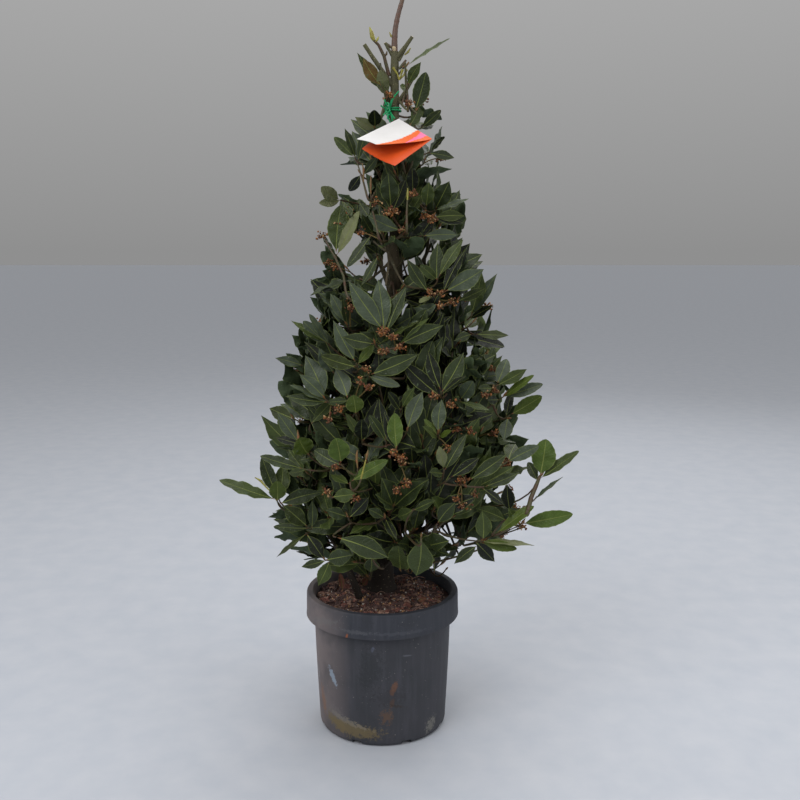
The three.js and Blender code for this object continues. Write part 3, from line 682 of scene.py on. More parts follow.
for mass in masses:
    mass["path"] = boughPath(mass) if mass["tier"]["bough"] else None
    mass["stemFoot"] = mass["path"](1) if mass["path"] else trunkPoint(mass["height"] - mass["tier"]["drop"])
    mass["stemTip"] = crownPoint(
        mass["turn"], mass["height"] + growth["stemLift"], twigReach(mass["height"]))


def growLimb(pointAt, radiusAt, sides, rings, relief):
    # a cylinder cut into rings, each laid across the path, with the bark's relief on it
    deselectAll()
    bpy.ops.mesh.primitive_cylinder_add(vertices=sides, radius=1, depth=1, end_fill_type="NGON")
    limb = bpy.context.object
    bpy.ops.object.mode_set(mode="EDIT")
    bpy.ops.mesh.select_mode(type="EDGE")
    bpy.ops.mesh.select_all(action="DESELECT")
    bpy.ops.object.mode_set(mode="OBJECT")
    heights = [vertex.co.z for vertex in limb.data.vertices]
    for edge in limb.data.edges:
        edge.select = abs(heights[edge.vertices[0]] - heights[edge.vertices[1]]) > 0.5
    bpy.ops.object.mode_set(mode="EDIT")
    bpy.ops.mesh.subdivide(number_cuts=rings)
    bpy.ops.object.mode_set(mode="OBJECT")
    across = Vector((1, 0, 0))
    for vertex in limb.data.vertices:
        share = vertex.co.z + 0.5
        before, after = pointAt(max(share - 0.01, 0)), pointAt(min(share + 0.01, 1))
        along = (after - before).normalized()
        first = (across - along * across.dot(along)).normalized()
        second = along.cross(first)
        outward = first * vertex.co.x + second * vertex.co.y
        point = pointAt(share)
        radius = radiusAt(share)
        spot = (point + outward * radius * 2.2) / relief["size"]
        ridge = noise.fractal(spot, 1.0, 2.0, 4) * relief["depth"]
        vertex.co = (point + outward * (radius + ridge)) * mm
    selectOnly(limb)
    bpy.ops.object.shade_smooth_by_angle(angle=math.radians(60))
    return limb


def makeBark():
    # bay bark: smooth, dark grey and brown low on the trunk, green-brown above, with fine cracks,
    # pale pores across the grain and a little green algae
    bark = newFinish("bay bark", "#4a4133", 0.82)
    height = addNode(bark, "SeparateXYZ", {0: addNode(bark, "TexCoord", {}, "Object")}, "Z")
    algae = addNode(bark, "MapRange", {"Value": height, "From Min": 0.24, "From Max": 0.6})
    crack = clouds(bark, 3.2, 5, 0.7, 0.25)
    colour = covered(bark, "#221a14", "#524834", height, 0.22, 0.8)
    colour = covered(bark, colour, "#57563a", height, 0.85, 1.0)
    colour = covered(bark, colour, "#4d4a38", clouds(bark, 18, 4), 0.42, 0.7, algae)
    colour = covered(bark, colour, "#261f18", crack, 0.56, 0.7)
    colour = covered(bark, colour, "#8b8164", clouds(bark, 4.2, 1, stretch=2.6), 0.68, 0.76)
    link(bark, colour, "Base Color")
    link(bark, addNode(bark, "Bump", {"Height": crack, "Distance": 0.7 * mm}), "Normal")
    return bark


barkFinish = makeBark()
# a dried pruning cut: pale end grain with a grey bloom
cutFinish = flecked("dried cut wood", ("#c4b391", "#8f7f63"), 0.85, 2.5, 0.35, 0.7, 3, 0.3)


def makeTrunk():
    collars = [mass["path"](trunk["collarAt"]) for mass in masses[1:] if mass["path"]]

    def heightAt(share):
        return lerp(trunk["foot"], trunk["top"], share ** trunk["lowRings"])

    def radiusAt(share):  # the clipped top is a little thinner than the solid
        return trunkRadius(heightAt(share)) * (1 - trunk["thinner"] * share ** 5)

    def pointAt(share):  # the kinks of the source's line are drawn smooth
        height = heightAt(share)
        low = max(height - trunk["kinkRound"], trunk["foot"])
        high = min(height + trunk["kinkRound"], trunk["top"])
        between = trunkPoint(low).lerp(trunkPoint(high), (height - low) / (high - low))
        return between.lerp(trunkPoint(height), 0.5)
    stem = growLimb(pointAt, radiusAt, trunk["sides"], trunk["rings"], {"size": 9, "depth": 0.9})
    for vertex in stem.data.vertices:  # a collar of bark under each bough
        place = vertex.co / mm
        axis = trunkPoint(place.z)
        swell = sum(
            math.exp(-(place - collar).length_squared / trunk["collarSpread"]) for collar in collars)
        flat = Vector((place.x - axis.x, place.y - axis.y, 0))
        if swell > 0.01 and flat.length > 0.1:
            vertex.co += flat.normalized() * swell * trunk["collarSwell"] * mm
    pieces = []
    for stub in trunk["stubs"]:
        start, end = trunkPoint(stub["height"]), Vector(stub["to"])
        path = bent(start, start.lerp(end, 0.5) + Vector((0, 0, -2)), end)

        def stubRadius(share):
            return lerp(stub["radius"] * 1.4, stub["radius"], share)
        pieces.append(growLimb(path, stubRadius, 14, 12, {"size": 5, "depth": 0.4}))
    ends = [(trunkPoint(trunk["top"]), 9)] + [(Vector(stub["to"]), 5) for stub in trunk["stubs"]]
    stem = joinInto(stem, pieces)
    stem.data.materials.append(barkFinish)
    stem.data.materials.append(cutFinish)
    for face in stem.data.polygons:
        centre = face.center / mm
        if any((centre - end).length < reach and len(face.vertices) > 6 for end, reach in ends):
            face.material_index = 1
    finishPiece(stem, "trunk_stem", "bark", "trunk")


def makeBoughs():
    pieces, replaced = [], []
    for mass in masses:
        if not mass["path"]:
            continue
        first = sideStem["radius"] if mass is masses[0] else mass["tier"]["bough"]
        path = mass["path"]

        def radiusAt(share):
            collar = 0 if mass is masses[0] else boughs["collar"] * math.exp(-share / boughs["collarFade"])
            return lerp(first, boughs["tipRadius"], share) + collar
        pieces.append(growLimb(path, radiusAt, boughs["sides"], boughs["rings"], {"size": 7, "depth": 0.6}))
        name = mass["tier"]["name"]
        replaced.append("side_stem" if mass is masses[0] else f"{name}_bough_{mass['number']}")
    limbs = joinInto(pieces[0], pieces[1:])
    limbs.data.materials.append(barkFinish)
    finishPiece(limbs, "bough_limbs", "bark", *replaced)


def makeLeader():
    foot = trunkPoint(trunk["top"])
    tip = Vector(leader["tip"])
    bow = bent(foot, foot.lerp(tip, 0.5) + Vector((leader["bow"], 0, 0)), tip)

    def path(share):
        return bow(share) - Vector((leader["sway"] * math.sin(2 * math.pi * share), 0, 0))

    def radiusAt(share):
        knuckle = max(0, math.cos(share * 2 * math.pi * leader["knuckles"])) ** 8
        return lerp(leader["radius"], leader["tipRadius"], share ** 0.7) + leader["knuckleRise"] * knuckle
    shoot = growLimb(path, radiusAt, 18, 90, {"size": 4, "depth": 0.25})
    deselectAll()
    bpy.ops.mesh.primitive_uv_sphere_add(segments=14, ring_count=10, radius=1)
    bud = bpy.context.object
    for vertex in bud.data.vertices:  # a pointed bud, fattest low down
        share = (vertex.co.z + 1) / 2
        width = leader["budRadius"] * math.sin(math.pi * min(share, 0.999) ** 0.7) ** 0.8
        flat = Vector((vertex.co.x, vertex.co.y, 0))
        flat = flat.normalized() if flat.length > 0.001 else flat
        vertex.co = (tip + flat * width + up * (share * leader["budHeight"] - leader["budSunk"])) * mm
    bpy.ops.object.shade_smooth()
    # young bay shoot: smooth thin skin, red-brown going green towards the bud
    finish = newFinish("young bay shoot", "#6b4630", 0.5)
    height = addNode(finish, "SeparateXYZ", {0: addNode(finish, "TexCoord", {}, "Object")}, "Z")
    fleck = clouds(finish, 5)
    colour = covered(finish, "#60463a", "#77743a", height, 1.1, 1.175)
    link(finish, covered(finish, colour, "#4d443c", fleck, 0.42, 0.75), "Base Color")
    link(finish, addNode(finish, "Bump", {"Height": fleck, "Distance": 0.25 * mm}), "Normal")
    shoot = joinInto(shoot, [bud])
    shoot.data.materials.append(finish)
    finishPiece(shoot, "leader_shoot", "bark", "leader")


makeTrunk()
makeBoughs()
makeLeader()


# What leaves and twigs keep clear of: limbs as strings of balls, and the label

label = {
    "back": (26, -8, 939), "right": (74, -46, 906), "left": (-33, -63, 904), "front": (-4, -91, 893),
    "lowerLeft": (-26, -60, 891), "lowerFront": (21, -98, 864), "thickness": 0.4,
    "white": (0.56, 0.96), "orange": (0.665, 1.3), "pink": (0.835, 1.165),  # where the bands end
    "bow": 2.2, "lowerBow": -1.76, "foldGap": 0.8, "foldShare": 0.05, "tornFrom": 0.94, "tear": 2,
}


def limbBalls():
    balls = []
    for height in np.arange(trunk["foot"], trunk["top"], 5):
        balls.append((*trunkPoint(height), trunkRadius(height)))
    for mass in masses:
        if mass["path"]:
            for share in np.linspace(0.1, 1, 26):
                radius = lerp(mass["tier"]["bough"], boughs["tipRadius"], share)
                balls.append((*mass["path"](float(share)), radius))
    back, right, left = (Vector(label[name]) for name in ("back", "right", "left"))
    for across in np.linspace(0, 1, 9):
        for along in np.linspace(0, 1, 9):
            spot = back + (right - back) * float(across) + (left - back) * float(along)
            balls.append((*spot, 5 + 13 * along))
    return np.array(balls)


balls = limbBalls()


def clearOfLimbs(points, gap):
    apart = np.linalg.norm(balls[None, :, :3] - points[:, None, :], axis=2) - balls[None, :, 3]
    return apart.min() > gap


# Leaves

leaf = {
    "length": 80, "width": 0.36,  # width is a share of the length
    "stations": 14, "firstStation": 0.08, "lastStation": 0.965,
    "fold": 0.2, "bulge": 0.16, "wave": 0.1, "rib": 0.021, "thickness": 0.045, "shapes": 9, "bluntShapes": 2,
    "crinkle": 0.024, "ripple": 0.015,  # the crisp edge: in and out, and up and down
    "middle": 0.55,  # where between midrib and margin the blade's own row of corners runs
}


def leafShape(variant):
    # one leaf of length and width 1: a stalk and midrib strip with a blade on each side, and an
    # underside that meets the blade at its margin
    draw = seeded(500 + variant)
    phase, waves, droop = draw() * 2 * math.pi, 2.4 + draw() * 1.5, 0.1 + 0.42 * draw()
    swing, fullness = (draw() - 0.5) * 0.2, 0.84 + 0.2 * draw()
    waviness = leaf["wave"] * (0.35 + 1.1 * draw())
    narrowing = 0.6 if variant >= leaf["shapes"] - leaf["bluntShapes"] else 1.2
    places, plan = [(0, 0, 0)], [(0, 0, 0)]
    stations = leaf["stations"]
    for station in range(stations):
        share = lerp(leaf["firstStation"], leaf["lastStation"], station / (stations - 1))
        t = (share - leaf["firstStation"]) / (1 - leaf["firstStation"])
        half = 0.5 * math.sin(math.pi * t ** fullness) ** lerp(0.86, narrowing, share)
        rib = leaf["rib"] * (1.35 - share)
        half = max(half * (1 + leaf["crinkle"] * (-1) ** station), rib * 1.4)
        sag = -droop * share ** 2 + 0.12 * share
        side = swing * math.sin(math.pi * share)
        for sign in (1, -1):
            wave = waviness * math.sin(2 * math.pi * waves * share + phase + sign)
            wave += leaf["ripple"] * (-1) ** station
            for reach in (1, leaf["middle"], 0):  # margin, middle of the blade, midrib
                across = lerp(rib, half, reach)
                rise = leaf["fold"] * reach + leaf["bulge"] * reach * (1 - reach) + wave * 2 * reach ** 2
                places.append((share, sign * across + side, sag + rise * half))
                plan.append((share, sign * across / half, 0))
        places.append((share, side, sag - leaf["thickness"]))
        plan.append((share, 0, 0))
    places.append((1, 0, -droop + 0.12))
    plan.append((1, 0, 0))
    tip, faces, kinds = len(places) - 1, [], []
    for station in range(stations):
        first = 1 + station * 7
        leftMargin, left, leftRib, rightMargin, right, rightRib, under = range(first, first + 7)
        around = [
            (leftMargin, left, "blade"), (left, leftRib, "blade"), (leftRib, rightRib, "rib"),
            (rightRib, right, "blade"), (right, rightMargin, "blade"),
            (rightMargin, under, "under"), (under, leftMargin, "under")]
        for low, following, kind in around:
            if station == 0:
                faces.append((0, following, low))
                kinds.append("stalk")
            if station == stations - 1:
                faces.append((low, following, tip))
                kinds.append(kind)
                continue
            # both sides of a margin are cut along the same diagonal, so that they never cross
            if low in (leftMargin, left, leftRib, rightMargin):
                faces += [(low, following, following + 7), (low, following + 7, low + 7)]
            else:
                faces += [(low, following, low + 7), (following, following + 7, low + 7)]
            kinds += [kind, kind]
    return np.array(places), faces, kinds, np.array(plan, dtype=float)


leafShapes = [leafShape(variant) for variant in range(leaf["shapes"])]


def leafAxes(direction, face):
    normal = (face - direction * face.dot(direction)).normalized()
    return Matrix((direction, normal.cross(direction), normal)).transposed()


def turnedAbout(direction, turn, opening):
    helper = Vector((1, 0, 0)) if abs(direction.z) > 0.9 else up
    first = helper.cross(direction).normalized()
    second = direction.cross(first)
    radial = first * math.cos(turn) + second * math.sin(turn)
    return direction * math.cos(opening) + radial * math.sin(opening)


samplePlan = np.array([
    (share, side * 0.42 * math.sin(math.pi * min(share, 0.94)), 0)
    for share in (0.3, 0.5, 0.7, 0.86, 1) for side in (-1, 0, 1)])


class Crowd:  # remembers where leaves are, so that a new one can keep its distance
    def __init__(self, cell, reach, most):
        self.cell, self.reach, self.cells = cell, reach, {}
        self.middles, self.samples = np.zeros((most, 3)), np.zeros((most, len(samplePlan), 3))
        self.count = 0

    def add(self, samples):
        middle = samples.mean(0)
        self.middles[self.count], self.samples[self.count] = middle, samples
        self.cells.setdefault(tuple((middle // self.cell).astype(int)), []).append(self.count)
        self.count += 1

    def room(self, samples):  # the least distance to a leaf that is already there
        middle = samples.mean(0)
        x, y, z = (int(v) for v in middle // self.cell)
        near = [number for i in (-1, 0, 1) for j in (-1, 0, 1) for k in (-1, 0, 1)
                for number in self.cells.get((x + i, y + j, z + k), ())]
        if not near:
            return 99.0
        near = np.array(near)
        near = near[((self.middles[near] - middle) ** 2).sum(1) < self.reach ** 2]
        if not len(near):
            return 99.0
        others = self.samples[near].reshape(-1, 3)
        return float(np.sqrt(((others[None] - samples[:, None]) ** 2).sum(2).min()))


crowd = Crowd(56, 62, 6000)  # cell and reach in millimetres, and the most leaves
leaves = []
lowCorner, highCorner = (np.array(corner) / mm for corner in cadBox)


def allowed(samples, overhang, gap=1.5, proud=-2):
    inside = (samples > lowCorner - proud).all() and (samples < highCorner + proud).all()
    if not inside or samples[:, 2].min() < crown["floor"]:
        return False
    reach = np.hypot(samples[:, 0] - crown["axis"][0], samples[:, 1] - crown["axis"][1])
    limit = np.interp(samples[:, 2], *zip(*crown["outline"])) + overhang
    return bool((reach < limit).all()) and clearOfLimbs(samples, gap)


def tryLeaf(root, direction, face, length, width, tint, overhang, gap=1.5, proud=-2):
    axes = leafAxes(direction, face)
    samples = (samplePlan * (length, width, 1)) @ np.array(axes).T + np.array(root)
    if not allowed(samples, overhang, gap, proud):
        return None
    return {
        "root": root, "axes": axes, "length": length, "width": width, "tint": tint,
        "samples": samples, "room": crowd.room(samples),
    }


def cornersOf(found):
    size = (found["length"], found["width"], found["width"] * found.get("arch", 1))
    return (leafShapes[found["shape"]][0] * size) @ np.array(found["axes"]).T + np.array(found["root"])


leafGap = {  # in millimetres: how near corners are compared, how deep counts as through, how far to look
    "beside": 4.5, "through": 0.3, "reach": 70,
}
# corners of the upper side, past the stalk
upperCorners = [1 + station * 7 + corner for station in range(1, leaf["stations"]) for corner in range(6)]
seenLeaves = []


def crosses(one, other):  # whether a leaf has corners on both sides of another
    for first, second in ((one, other), (other, one)):
        axes, root = np.array(second["axes"]), np.array(second["root"])
        mine = (first["corners"][upperCorners] - root) @ axes
        others = (second["corners"][upperCorners] - root) @ axes
        apart = np.hypot(mine[:, None, 0] - others[None, :, 0], mine[:, None, 1] - others[None, :, 1])
        rise = (mine[:, 2] - others[apart.argmin(1), 2])[apart.min(1) < leafGap["beside"]]
        if len(rise) and rise.max() > leafGap["through"] and rise.min() < -leafGap["through"]:
            return True
    return False


def crossesSeen(found):
    middle = found["samples"].mean(0)
    near = [other for other in seenLeaves
            if np.abs(other["samples"].mean(0) - middle).max() < leafGap["reach"]]
    return any(crosses(found, other) for other in near)


def keepLeaf(found, draw):
    if "shape" not in found:
        found["shape"] = int(draw() * leaf["shapes"]) % leaf["shapes"]
    found["tier"] = nearestMass(found["root"])["tier"]["name"]
    crowd.add(found["samples"])
    leaves.append(found)


# Wood of the masses, as in the solids

twigs = []  # the points, radii and age of each
nodesOf = {id(mass): [] for mass in masses}  # places on a mass's wood where a shoot can start


def planWood(mass):
    draw = seeded(mass["seed"] * 7 + 3)
    foot, tip = mass["stemFoot"], mass["stemTip"]
    stem = bent(foot, foot.lerp(tip, 0.5) - up * (foot - tip).length * growth["stemSag"], tip)
    places = spread(stem, growth["stemSteps"])
    twigs.append((places, tapered(*growth["stemRadii"], growth["stemSteps"]), "old"))
    nodesOf[id(mass)] += places[1:]
    if mass["path"]:
        nodesOf[id(mass)] += [mass["path"](share) for share in (0.6, 0.8)]
    else:
        nodesOf[id(mass)] += [trunkPoint(mass["height"] + step) for step in (-40, -10, 20)]
    count = growth["columns"] * growth["rows"]
    for i in range(count):
        column = i % growth["columns"] - (growth["columns"] - 1) / 2 + (draw() - 0.5) * growth["twigSway"]
        row = i // growth["columns"] - (growth["rows"] - 1) / 2 + (draw() - 0.5) * growth["twigSway"]
        sideways = column * growth["columnSpread"] * math.pi / mass["tier"]["masses"] / growth["columns"]
        turn = mass["turn"] + sideways
        height = mass["height"] + row * growth["rowStep"] - growth["rowDrop"]
        target = crownPoint(turn, height, twigReach(height) * (0.9 + 0.12 * draw()))
        start = foot.lerp(tip, lerp(growth["firstTwig"], growth["lastTwig"], i / (count - 1)))
        if nearestMass(target) is not mass or (target - start).length < growth["shortestTwig"]:
            continue
        sag = (target - start).length * growth["twigSag"]
        places = spread(bent(start, start.lerp(target, 0.5) - up * sag, target), growth["twigSteps"])
        if not clearOfLimbs(np.array([tuple(place) for place in places[2:]]), growth["twigGap"]):
            continue
        twigs.append((places, tapered(*growth["twigRadii"], growth["twigSteps"]), "old"))
        nodesOf[id(mass)] += places[1:]


for mass in masses:
    planWood(mass)
print("wood planned", len(twigs), "twigs")


def reachOf(point):
    return math.hypot(point.x - crown["axis"][0], point.y - crown["axis"][1])


def wayOut(point):
    flat = Vector((point.x - crown["axis"][0], point.y - crown["axis"][1], 0))
    return flat.normalized() if flat.length > 1 else Vector((0, -1, 0))


nodeChoice = {"nearest": 26, "tooNear": 60, "outward": 3, "outwardSlack": 6, "downward": 1.2, "downSlack": 4}


def twigTo(target, aim, radii=growth["shootRadii"]):
    # a shoot that leaves the nearest wood of its mass and ends at the target, pointing along aim; wood
    # that lies too near, further out or higher costs extra
    mass = nearestMass(target)

    def cost(node):
        away = (target - node).length
        outward = max(0, reachOf(node) - reachOf(target) + nodeChoice["outwardSlack"])
        downward = max(0, node.z - target.z + nodeChoice["downSlack"])
        near = nodeChoice["tooNear"] if away < nodeChoice["nearest"] else 0
        return away + near + outward * nodeChoice["outward"] + downward * nodeChoice["downward"]
    best = min(nodesOf[id(mass)], key=cost)
    away = (target - best).length
    path = bent(best, target - aim * away * 0.5, target)
    places = spread(path, growth["twigSteps"])
    twigs.append((places, tapered(*radii, growth["twigSteps"]), "young"))
    nodesOf[id(mass)].append(places[4])
    return path, away


# Sprays that the photograph shows: the pixel of the foot, how deep it lies inside the crown's
# outline in millimetres, and for each leaf the pixel of its tip, its width in pixels and its tint

# the tints grey and pale are partly painted sheen, lighter copies of the leaf green, and deep is partly
# painted shade, a darker copy
seenSprays = [
    # round the stem's top
    (386, 95, 46, [(357, 52, 10, "olive"), (380, 70, 12, "pale")]), (382, 87, 30, [(363, 58, 13, "brown")]),
    (407, 86, 40, [(421, 62, 10, "mid"), (400, 86, 6, "fresh")]), (415, 112, 46, [(426, 72, 16, "dark")]),
    (406, 66, 46, [(450, 38, 3, "mid")]), (421, 128, 60, [(441, 110, 9, "dark"), (434, 125, 7, "deep")]),
    (375, 128, 60, [(374, 110, 13, "deep"), (355, 117, 10, "pale")]),
    (355, 158, 30, [(334, 137, 10, "mid"), (345, 128, 8, "dark"), (366, 132, 8, "dark")]),
    (430, 152, 40, [(445, 137, 5, "deep"), (455, 158, 9, "dark")]),
    # neck and shoulder
    (361, 174, 40, [(349, 191, 10, "deep"), (378, 156, 9, "dark")]),
    (340, 200, 20, [(321, 187, 13, "pale"), (319, 203, 9, "pale"), (352, 216, 7, "mid")]),
    (336, 254, 24, [(341, 205, 20, "mid"), (359, 211, 11, "pale"), (322, 234, 5, "mid")]),
    (372, 234, 60, [(347, 267, 10, "dark"), (362, 214, 11, "dark")]),
    (377, 254, 60, [(365, 245, 9, "deep"), (361, 286, 8, "dark")]),
    (391, 208, 46, [(388, 173, 19, "dark"), (376, 182, 12, "dark"), (405, 180, 13, "deep")]),
    (413, 196, 60, [(412, 166, 13, "deep"), (402, 170, 8, "olive")]),
    (426, 208, 40, [(429, 182, 13, "mid")]),
    (435, 210, 40, [(449, 182, 18, "dark"), (469, 198, 6, "grey")]),
    (433, 217, 36, [(465, 216, 11, "olive"), (465, 223, 10, "deep")]),
    (422, 236, 46, [(459, 235, 12, "grey")]), (402, 231, 50, [(367, 215, 15, "grey")]),
    (429, 293, 46, [(407, 259, 13, "dark"), (420, 303, 6, "pale")]),
    (438, 278, 36, [(463, 239, 12, "mid"), (420, 265, 10, "mid"), (438, 242, 15, "dark")]),
    (444, 292, 30, [(484, 269, 19, "grey"), (465, 250, 12, "deep")]),
    (456, 302, 34, [(486, 288, 10, "olive")]),
    (471, 316, 34, [(482, 272, 15, "mid"), (497, 273, 12, "grey"), (493, 305, 8, "deep")]),
    (474, 334, 34, [(509, 335, 9, "olive"), (454, 341, 9, "dark")]),
    (347, 325, 34, [(330, 293, 12, "grey"), (343, 296, 8, "dark")]),
    # waist
    (384, 331, 36, [(348, 280, 20, "grey"), (378, 279, 19, "grey"), (406, 286, 14, "dark")]),
    (400, 344, 34, [(444, 325, 18, "dark"), (429, 317, 6, "mid")]),
    (375, 344, 36, [(342, 337, 16, "dark"), (419, 320, 4, "olive")]),
    (327, 343, 24, [(291, 320, 8, "mid"), (303, 321, 13, "grey"), (309, 314, 8, "grey")]),
    (356, 363, 36, [(333, 320, 16, "grey"), (374, 345, 9, "fresh"), (321, 356, 14, "olive")]),
    (369, 375, 34, [(419, 354, 18, "dark"), (400, 386, 10, "grey")]),
    (333, 372, 34, [(304, 341, 12, "deep"), (319, 348, 14, "grey")]),
    (304, 366, 24, [(275, 358, 10, "grey")]),
    (325, 399, 30, [(305, 355, 22, "grey"), (299, 374, 14, "grey"), (285, 396, 12, "dark"),
     (289, 384, 7, "grey")]), (348, 399, 34, [(335, 368, 18, "grey"), (325, 402, 8, "dark")]),
    (356, 415, 34, [(353, 395, 18, "fresh")]), (294, 419, 20, [(269, 408, 15, "olive")]),
    (310, 425, 30, [(336, 397, 11, "mid")]),
    (299, 443, 24, [(277, 412, 14, "grey"), (275, 437, 9, "deep")]),
    (362, 440, 56, [(345, 412, 9, "mid"), (362, 419, 15, "deep"), (378, 398, 14, "deep")]),
    (386, 440, 52, [(379, 398, 14, "deep"), (369, 415, 10, "dark")]),
    (401, 409, 46, [(415, 387, 9, "mid"), (388, 392, 9, "deep")]), (407, 431, 38, [(423, 391, 17, "grey")]),
    (397, 450, 30, [(395, 413, 16, "lime"), (384, 411, 13, "deep")]),
    (441, 391, 40, [(428, 350, 14, "deep"), (464, 352, 18, "dark"), (466, 375, 7, "deep"),
     (404, 364, 17, "deep")]),
    (438, 434, 30, [(442, 399, 15, "grey"), (424, 419, 6, "fresh"), (451, 431, 6, "fresh"),
     (423, 426, 7, "mid")]), (460, 400, 40, [(473, 381, 16, "grey"), (490, 410, 6, "mid")]),
    (497, 384, 20, [(507, 359, 14, "grey"), (527, 369, 12, "mid"), (478, 388, 8, "dark")]),
    (503, 397, 16, [(543, 384, 12, "grey"), (534, 375, 8, "fresh"), (488, 400, 10, "deep")]),
    (510, 415, 16, [(542, 396, 15, "fresh"), (504, 440, 14, "grey"), (512, 392, 9, "deep")]),
    # belt and skirt
    (341, 464, 28, [(336, 438, 22, "lime"), (314, 450, 16, "dark")]),
    (309, 455, 28, [(299, 438, 22, "fresh")]),
    (304, 469, 20, [(260, 456, 11, "dark"), (288, 473, 9, "mid")]),
    (350, 482, 26, [(388, 460, 13, "lime"), (330, 474, 8, "mid")]),
    (277, 500, 6, [(219, 480, 12, "mid"), (277, 481, 17, "fresh"), (322, 492, 15, "dark")]),
    (278, 497, 24, [(262, 457, 14, "dark"), (283, 462, 16, "mid")]),
    (331, 497, 26, [(356, 494, 14, "mid")]),
    (348, 517, 34, [(326, 510, 12, "dark"), (369, 497, 13, "deep")]),
    (308, 527, 34, [(284, 506, 17, "olive"), (274, 526, 9, "dark"), (312, 500, 10, "dark")]),
    (306, 533, 26, [(324, 559, 14, "deep"), (276, 557, 5, "olive")]),
    (325, 560, 20, [(352, 555, 17, "dark"), (301, 567, 9, "dark"), (318, 586, 14, "mid")]),
    (336, 537, 14, [(389, 558, 21, "dark")]), (371, 556, 34, [(370, 573, 16, "dark")]),
    (421, 537, 10, [(416, 577, 27, "mid")]), (414, 509, 26, [(397, 517, 15, "mid"), (436, 500, 9, "dark")]),
    (437, 524, 26, [(455, 503, 16, "dark")]),
    (385, 518, 40, [(368, 509, 10, "dark"), (397, 540, 9, "deep")]),
    (444, 470, 24, [(439, 446, 11, "pale"), (467, 433, 13, "dark"), (430, 472, 9, "dark")]),
    (450, 478, 26, [(480, 457, 12, "deep")]), (468, 481, 20, [(507, 454, 15, "dark")]),
    (484, 487, 16, [(519, 473, 11, "dark"), (505, 505, 9, "deep")]),
    (508, 461, 10, [(516, 443, 17, "olive"), (539, 446, 13, "grey")]),
    (540, 477, -24, [(546, 439, 24, "lime"), (584, 447, 10, "mid"), (528, 462, 10, "dark")]),
    (510, 512, 14, [(507, 484, 14, "deep")]), (533, 501, -18, [(563, 476, 4, "grey")]),
    (521, 524, -8, [(573, 514, 16, "lime"), (508, 508, 9, "mid")]),
    (496, 534, 6, [(534, 506, 11, "fresh")]),
    (483, 541, 14, [(482, 511, 16, "mid"), (517, 549, 11, "fresh"), (535, 545, 6, "pale"),
     (495, 562, 14, "deep")]), (508, 521, 10, [(475, 508, 14, "mid")]),
    (478, 545, 20, [(454, 564, 11, "dark")]),
]
seenBuds = [
    (394, 211), (388, 214), (412, 195), (425, 216), (432, 220), (402, 231), (361, 233), (376, 203),
    (430, 293), (440, 294), (452, 302), (440, 307), (348, 305), (350, 309), (383, 331), (487, 306),
    (384, 334), (393, 338), (400, 347), (384, 352), (365, 370), (360, 383), (369, 388), (339, 410),
    (329, 419), (393, 454), (403, 463), (400, 458), (407, 483), (397, 491), (327, 492), (336, 468),
    (434, 396), (452, 405), (456, 430), (470, 432), (448, 448), (462, 506), (457, 499), (463, 482),
    (473, 495), (468, 504), (355, 499), (485, 395), (494, 391), (500, 467), (506, 464), (461, 479),
    (521, 526), (515, 508), (484, 542), (389, 96), (409, 104), (322, 236), (328, 262),
]
# gaps that let the light through: the pixel of the middle and the radius in pixels
openings = [
    (357, 264, 13), (397, 264, 15), (396, 289, 9), (372, 272, 7), (367, 196, 6), (345, 180, 7),
    (425, 254, 5), (404, 530, 7), (448, 530, 8), (498, 492, 8), (523, 487, 8), (330, 545, 6),
    (468, 352, 5), (289, 498, 6), (404, 312, 5), (340, 330, 5), (385, 80, 34), (412, 52, 40),
    (385, 590, 27), (350, 600, 30), (422, 600, 36), (392, 110, 14), (470, 545, 8), (246, 520, 15),
    (258, 547, 12), (427, 527, 7), (472, 574, 16), (447, 572, 12), (503, 560, 7), (513, 534, 6),
]
cameraPlace = Vector(camera["place"])

# bare shoots and buds round the stem's top: pixels from foot to tip, the width in pixels at each, how
# far forward of the stem's axis they stand in millimetres, and the finish (0, bark, is a pruned one)
topShoots = [
    ([(389, 76), (384, 56), (378.6, 45), (374.1, 40.5)], [3.8, 3.2, 2.8, 2.6], 4, 1),
    ([(374.1, 40.5), (372.5, 37), (371.4, 32.5), (369.6, 27)], [3.0, 4.6, 3.8, 1.0], 4, 4),
    ([(375.5, 42), (377.5, 39.5), (378.6, 36.6)], [1.4, 2.2, 0.8], 5, 4),
    ([(384, 57), (386.5, 54), (387, 51)], [1.4, 2.2, 0.8], 5, 1),
    ([(392, 48), (389, 46), (386, 42.6)], [1.8, 3.0, 1.0], 5, 1),
    ([(393.6, 38), (391, 36), (389.4, 32)], [1.2, 2.0, 0.6], 0, 4),
    ([(399, 61), (404, 52), (408.4, 44)], [2.4, 2.0, 1.5], 2, 0),
    ([(404.5, 55), (408, 52), (410.6, 48)], [1.2, 2.2, 0.8], 3, 4),
    ([(399, 69), (403, 65), (406, 60)], [2.2, 3.6, 1.8], 5, 1),
    ([(402, 67), (406, 66), (409, 62)], [1.6, 2.4, 1.2], 6, 2),
    ([(399.4, 80), (397.4, 74), (393, 67.5)], [2.0, 1.6, 2.8], 9, 4),
    ([(399.4, 80), (401, 75), (402.6, 69.5)], [1.8, 1.6, 2.8], 9, 4),
    ([(400, 79), (404, 75), (406.8, 69.4)], [1.8, 1.6, 2.8], 8, 4),
    ([(408, 112), (407.6, 97), (406.6, 85), (409.5, 79)], [2.4, 2.2, 2.2, 1.6], 8, 1),
    ([(386, 100), (384, 90), (381, 84)], [2.2, 2.0, 1.4], 6, 1),
    ([(394.4, 51), (394, 48.6), (394.2, 46.6)], [3.0, 4.2, 3.0], 4, 3),
]
